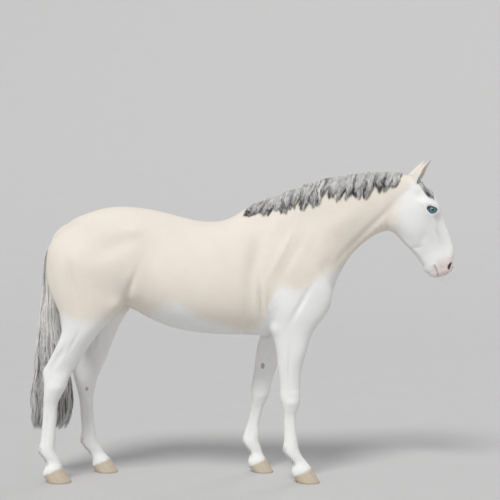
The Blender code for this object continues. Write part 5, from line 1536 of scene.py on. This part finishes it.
# tufts: each leaves its root under the skin, lies along the coat's own direction and lifts towards its tip;
# `look` holds a length, half width and lift for each
def tuftMesh(name, place, normal, way, look, draw, spot, laid=True):
    long, wide, lift = look.T[:, :, None]
    count = len(place)
    t = np.linspace(0, 1, coat["steps"])[None, :]
    long = long * draw.uniform(0.65, 1.2, (count, 1))
    side = np.cross(normal, way)
    drift = draw.normal(0, 0.16, (count, 1)) * t + draw.normal(0, 0.08, (count, 1)) * t ** 2
    paths = place[:, None] + way[:, None] * (long * t)[..., None] + side[:, None] * (long * drift)[..., None]
    height = -0.0006 + 0.0007 * np.sqrt(t) + lift * draw.uniform(0.4, 1.6, (count, 1)) * t ** 1.4
    height = np.broadcast_to(height, (count, coat["steps"]))
    paths = laidOn(paths, height, 3) if laid else paths + normal[:, None] * height[..., None]
    paths[:, 0] = place - normal * 0.0008
    marks = rootMarks(place, normal)
    marks["tone"] = draw.normal(0.5, 0.18, count)
    facing = np.broadcast_to(normal[:, None], paths.shape)
    wide = wide * (0.7 + 0.5 * t - 1.1 * t ** 2)
    return hairMesh(name, paths, wide, facing, marks, spot, flat=0.06, shade=normal)


# the skin's own markings and its painted hollow shade, read at the roots
def rootMarks(place, normal):
    white, bare = markingsAt(place)
    return dict(white=white, bare=bare, hollow=hollowShadeAt(place, normal))


# the coat's colour at each root with half the painted hollow shade, a little lighter or darker from tuft to
# tuft, and painted shade darkening each tuft towards its root, under the tips of the others
def tuftFinish():
    k = coatLook
    material, base, shader = newFinish("coatTufts", Roughness=0.6, Sheen_Weight=0.1, Sheen_Roughness=0.5,
                                       Specular_IOR_Level=0.3)
    tone, along = mark(base, "tone"), mark(base, "along")
    # half the skin's painted hollow shade
    made = coatColour(base, mark(base, "hollow") * 0.5)
    made = made.under(colour(*k["pink"]), mark(base, "bare").between(0.30, 1.05) * 0.35)
    # darker from tuft to tuft at random, and painted shade towards each root
    darker = (1 - (tone + along * 0.35).between(0.10, 0.70)) * 0.16
    made = made.under(colour(0.70, 0.66, 0.62), darker, "MULTIPLY")
    feed(shader, "Base Color", made)
    fine, bump = fineLines(base, (0.0008, 0.0008, 0.006), 0.25, 0.0003)
    feed(shader, "Normal", bump)
    feed(shader, "Roughness", 0.55 + fine * 0.15)
    return material


coatTufts = tuftFinish()


# the same for tufts: their finish and place in the frame, hiding the frame's trunk or head part as the slot
# says
def addTufts(thing, slot):
    thing.data.materials.append(coatTufts)
    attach(thing, "root")
    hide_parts("trunk" if slot == "coat" else "head")
    print(thing.name, sum(len(p.vertices) - 2 for p in thing.data.polygons), "triangles")


# one piece of coat for each region: x and z at both ends of the axis that it is unwrapped round, and its slot
coatPieces = dict(
    coatTrunk=((-1.25, 1.25), (0.50, 1.25), "coat"), coatNeck=((0.35, 1.42), (1.02, 1.70), "coat"),
    coatHead=((1.00, 1.85), (1.25, 1.20), "white"), coatForeRight=((0.37, 0.0), (0.30, 0.9), "white"),
    coatForeLeft=((0.10, 0.0), (0.24, 0.9), "white"), coatHindRight=((-1.09, 0.0), (-0.96, 0.9), "white"),
    coatHindLeft=((-0.87, 0.0), (-0.90, 0.9), "white"),
)


# which piece a place belongs to: the legs below a level, the rest by two slanted cuts across the neck
def coatPiecesAt(p):
    x, y, z = p.T
    alongNeck, alongHead = pastCuts(x, z)
    leg, fore = z <= 0.88, x > -0.3
    trunk, head = alongNeck < 0.42, alongHead >= 0.97
    return dict(coatTrunk=~leg & trunk, coatNeck=~leg & ~trunk & ~head, coatHead=~leg & head,
                coatForeRight=leg & fore & (y < 0), coatForeLeft=leg & fore & (y > 0),
                coatHindRight=leg & ~fore & (y < 0), coatHindLeft=leg & ~fore & (y > 0))


# tufts to a square metre
def coatRate(p, n):
    return sum(coat[kind][0] * share for kind, share in kindsAt(p, n).items())


# the coat's tufts, strewn by kind over the skin except on lids, in nostrils and where the muzzle is bare
def layCoat():
    draw = np.random.default_rng(21)
    place, normal = strewn(body, coatRate, draw)
    normal = facingOf(place, normal)
    value, _ = readField(skinField, skinAxes, place)
    bare = markingsAt(place)[1]
    kept = (np.abs(value) < onSkin) & (lidRing(*place.T)[0] > 1.5) & (nostrilRing(*place.T)[0] > 1.3) \
        & (draw.uniform(0, 1, len(place)) > bare * 0.7)
    place, normal = place[kept], normal[kept]
    kinds = kindsAt(place, normal)
    share = np.stack([kinds[k] * coat[k][0] for k in kinds], 1)
    pick = (share.cumsum(1) < draw.uniform(0, 1, (len(place), 1)) * share.sum(1, keepdims=True)).sum(1)
    look = np.array([coat[k][1:] for k in kinds])[np.minimum(pick, len(kinds) - 1)]
    way = lieAt(place, normal) + look[:, 3:] * np.array([0, 0, -1.0])
    way = alongSurface(way, normal)
    parts = coatPiecesAt(place)
    for name, (start, end, slot) in coatPieces.items():
        here = parts[name]
        spot = unwrapped(place[here], start, end)
        addTufts(tuftMesh(name, place[here], normal[here], way[here], look[here, :3], draw, spot), slot)


# the ears' own hair: short outside, long and standing inside and on the rims
def layEarHair():
    draw = np.random.default_rng(22)

    # only off the head itself, between the ears' roots and tips, and five times as many inside
    def rate(p, n):
        value, _ = readField(skinField, skinAxes, p)
        onEar = (value > 0.004) & (p[:, 2] > 1.78) & (p[:, 2] < 1.905)
        return np.where(onEar, coat["ears"], 0) * (1 + 4 * (n[:, 0] > 0.2))

    place, normal = strewn(body, rate, draw)
    normal = unit(normal)
    inside = normal[:, 0] > 0.2
    up = unit(np.array([ear["tipX"] - ear["x"], 0, ear["tipZ"] - ear["z"]]))
    way = up + np.where(inside[:, None], np.array([0.35, 0, 0]), 0)
    way = alongSurface(way, normal)
    look = np.where(inside[:, None], [0.015, 0.0004, 0.0050], [0.007, 0.0004, 0.0008])
    around = np.arctan2(place[:, 1], place[:, 0] - 1.09) / (2 * np.pi) + 0.5
    spot = np.stack([(place[:, 2] - 1.74) / 0.2, around], 1)
    addTufts(tuftMesh("coatEars", place, normal, way, look, draw, spot, False), "coat")


# lashes along the upper lids, and whiskers on muzzle, chin and under the eyes
def layFineHair():
    draw, e = np.random.default_rng(23), eyeball
    t = np.linspace(0, 1, 7)[None, :, None]
    n = coat["lashes"]
    s = np.linspace(-0.86, 0.80, n) + draw.normal(0, 0.01, n)
    arch = (1 - np.abs(s) ** 2.2) ** (1 / 2.2) * draw.uniform(1.06, 1.22, n)
    dx, dz = turned(lids["half"] * s, lids["high"] + lids["above"] * arch, -lids["tilt"])
    dy = np.sqrt((e["r"] + 0.0030) ** 2 - dx ** 2 - dz ** 2)
    paths = []
    for side in (-1, 1):
        start = np.stack([e["x"] + dx, side * (e["y"] + dy), e["z"] + dz], 1)[:, None]
        first = np.stack([0.10 + 0.45 * s, side * (0.85 + 0 * s), 0.30 + 0 * s], 1)[:, None]
        then = np.stack([0.10 + 0.25 * s, side * (0.05 + 0 * s), -0.70 + 0 * s], 1)[:, None]
        paths.append(start + draw.uniform(0.010, 0.017, (n, 1, 1)) * (first * t + then * t ** 2))

    # to a square metre: on the bare muzzle away from the nostrils, and in an arc under each eye
    def rate(p, _):
        onMuzzle = (markingsAt(p)[1] > 0.35) * (nostrilRing(*p.T)[0] > 1.4)
        underEye = (np.abs(lidRing(*p.T)[0] - 2.6) < 0.4) * (p[:, 2] < e["z"])
        return coat["whiskers"] * onMuzzle + coat["eyeWhiskers"] * underEye

    places, normal = strewn(body, rate, draw)
    m, out = len(places), unit(normal)[:, None]
    fall = draw.uniform(-0.8, -0.2, (m, 1, 1)) * np.array([0, 0, 1.0])
    long = draw.uniform(0.014, 0.040, (m, 1, 1))
    whiskers = places[:, None] - out * 0.001 + long * (out * t + fall * t ** 2)
    whiskers = whiskers[((whiskers > cadLow + 0.002) & (whiskers < cadHigh - 0.002)).all((1, 2))]
    m = len(whiskers)
    paths = np.concatenate(paths + [whiskers])
    wide = np.repeat([0.00032, 0.00020], [2 * n, m])[:, None] * (1.0 - 0.8 * t[..., 0] ** 2)
    tone = np.concatenate([np.full(2 * n, 0.22), draw.uniform(0.4, 0.75, m)])
    spot = unwrapped(paths[:, 0], (1.00, 1.85), (1.25, 1.20))
    facing = np.array([0.3, 0.2, 1.0]) + 0 * paths
    made = hairMesh("lashesAndWhiskers", paths, wide, facing, dict(tone=tone), spot, flat=1.0)
    addLongHair(made, "head")


layCoat()
layEarHair()
layFineHair()

# ---- the stage
# floor and sky colours, strengths of the lights, the floor's rim,
# and the camera's place from the horse's middle
studio = dict(floor=(0.58, 0.575, 0.57), world=(0.93, 0.94, 0.96), worldStrength=0.43, key=1.92, back=0.45,
              rim=60, rimHigh=26, across=0.0566, up=0.4102, away=6.2, lens=73.5)
centre = (cadLow + cadHigh) / 2


# a pale floor: rings of a disc, flat under the horse and rising slowly towards a far rim, faintly mottled
def makeFloor():
    radius, around = np.concatenate([[0.5, 1, 2, 4], np.linspace(8, studio["rim"], 30)]), 96
    rise = studio["rimHigh"] * np.clip((radius - 10) / (studio["rim"] - 10), 0, 1) ** 2
    a = np.linspace(0, 2 * np.pi, around, endpoint=False)
    rings = np.stack([radius[:, None] * np.cos(a), radius[:, None] * np.sin(a), rise[:, None] + 0 * a], -1)
    i, j = (g.ravel() for g in np.meshgrid(np.arange(len(radius) - 1), np.arange(around), indexing="ij"))
    p, q = i * around + j, i * around + (j + 1) % around
    hub = len(radius) * around
    k = np.arange(around)
    points = np.concatenate([rings.reshape(-1, 3), [[0, 0, 0]]])
    quads = np.stack([p, p + around, q + around, q], 1)
    floor = meshFrom("floor", points, quads, np.stack([k, (k + 1) % around, 0 * k + hub], 1))
    material, base, shader = newFinish("paleFloor", Roughness=0.85)
    mottle = noise(base, placed(base), 3.0, 4, 0.6)
    darker = tuple(0.97 * c for c in studio["floor"])
    shade = base.node("ValToRGB", {"stops": [(0.2, studio["floor"]), (0.8, darker)]}, {0: mottle})
    feed(shader, "Base Color", shade)
    floor.data.materials.append(material)


# a broad soft light from far off, towards the horse's middle
def addLight(name, place, strength, spread):
    data = bpy.data.lights.new(name, "SUN")
    data.energy, data.angle = strength, math.radians(spread)
    lamp = bpy.data.objects.new(name, data)
    lamp.location = place
    way = Vector(centre) - Vector(place)
    lamp.rotation_euler = way.to_track_quat("-Z", "Y").to_euler()
    bpy.context.scene.collection.objects.link(lamp)


makeFloor()
addLight("key", (-1.6, -4.0, 6.5), studio["key"], 20)
addLight("back", (3.0, 5.0, 4.5), studio["back"], 30)
world = bpy.data.worlds.new("studioWorld")
world.use_nodes = True
sky = world.node_tree.nodes["Background"]
sky.inputs["Color"].default_value = colour(*studio["world"])
sky.inputs["Strength"].default_value = studio["worldStrength"]
bpy.context.scene.world = world
bpy.context.scene.view_settings.view_transform = "Standard"
lens = bpy.data.cameras.new("camera")
lens.lens = studio["lens"]
camera = bpy.data.objects.new("camera", lens)
camera.location = (centre[0] + studio["across"], centre[1] - studio["away"], centre[2] + studio["up"])
camera.rotation_euler = (math.radians(90), 0, 0)
bpy.context.scene.collection.objects.link(camera)
bpy.context.scene.camera = camera
print("stage made")

bpy.context.view_layer.update()
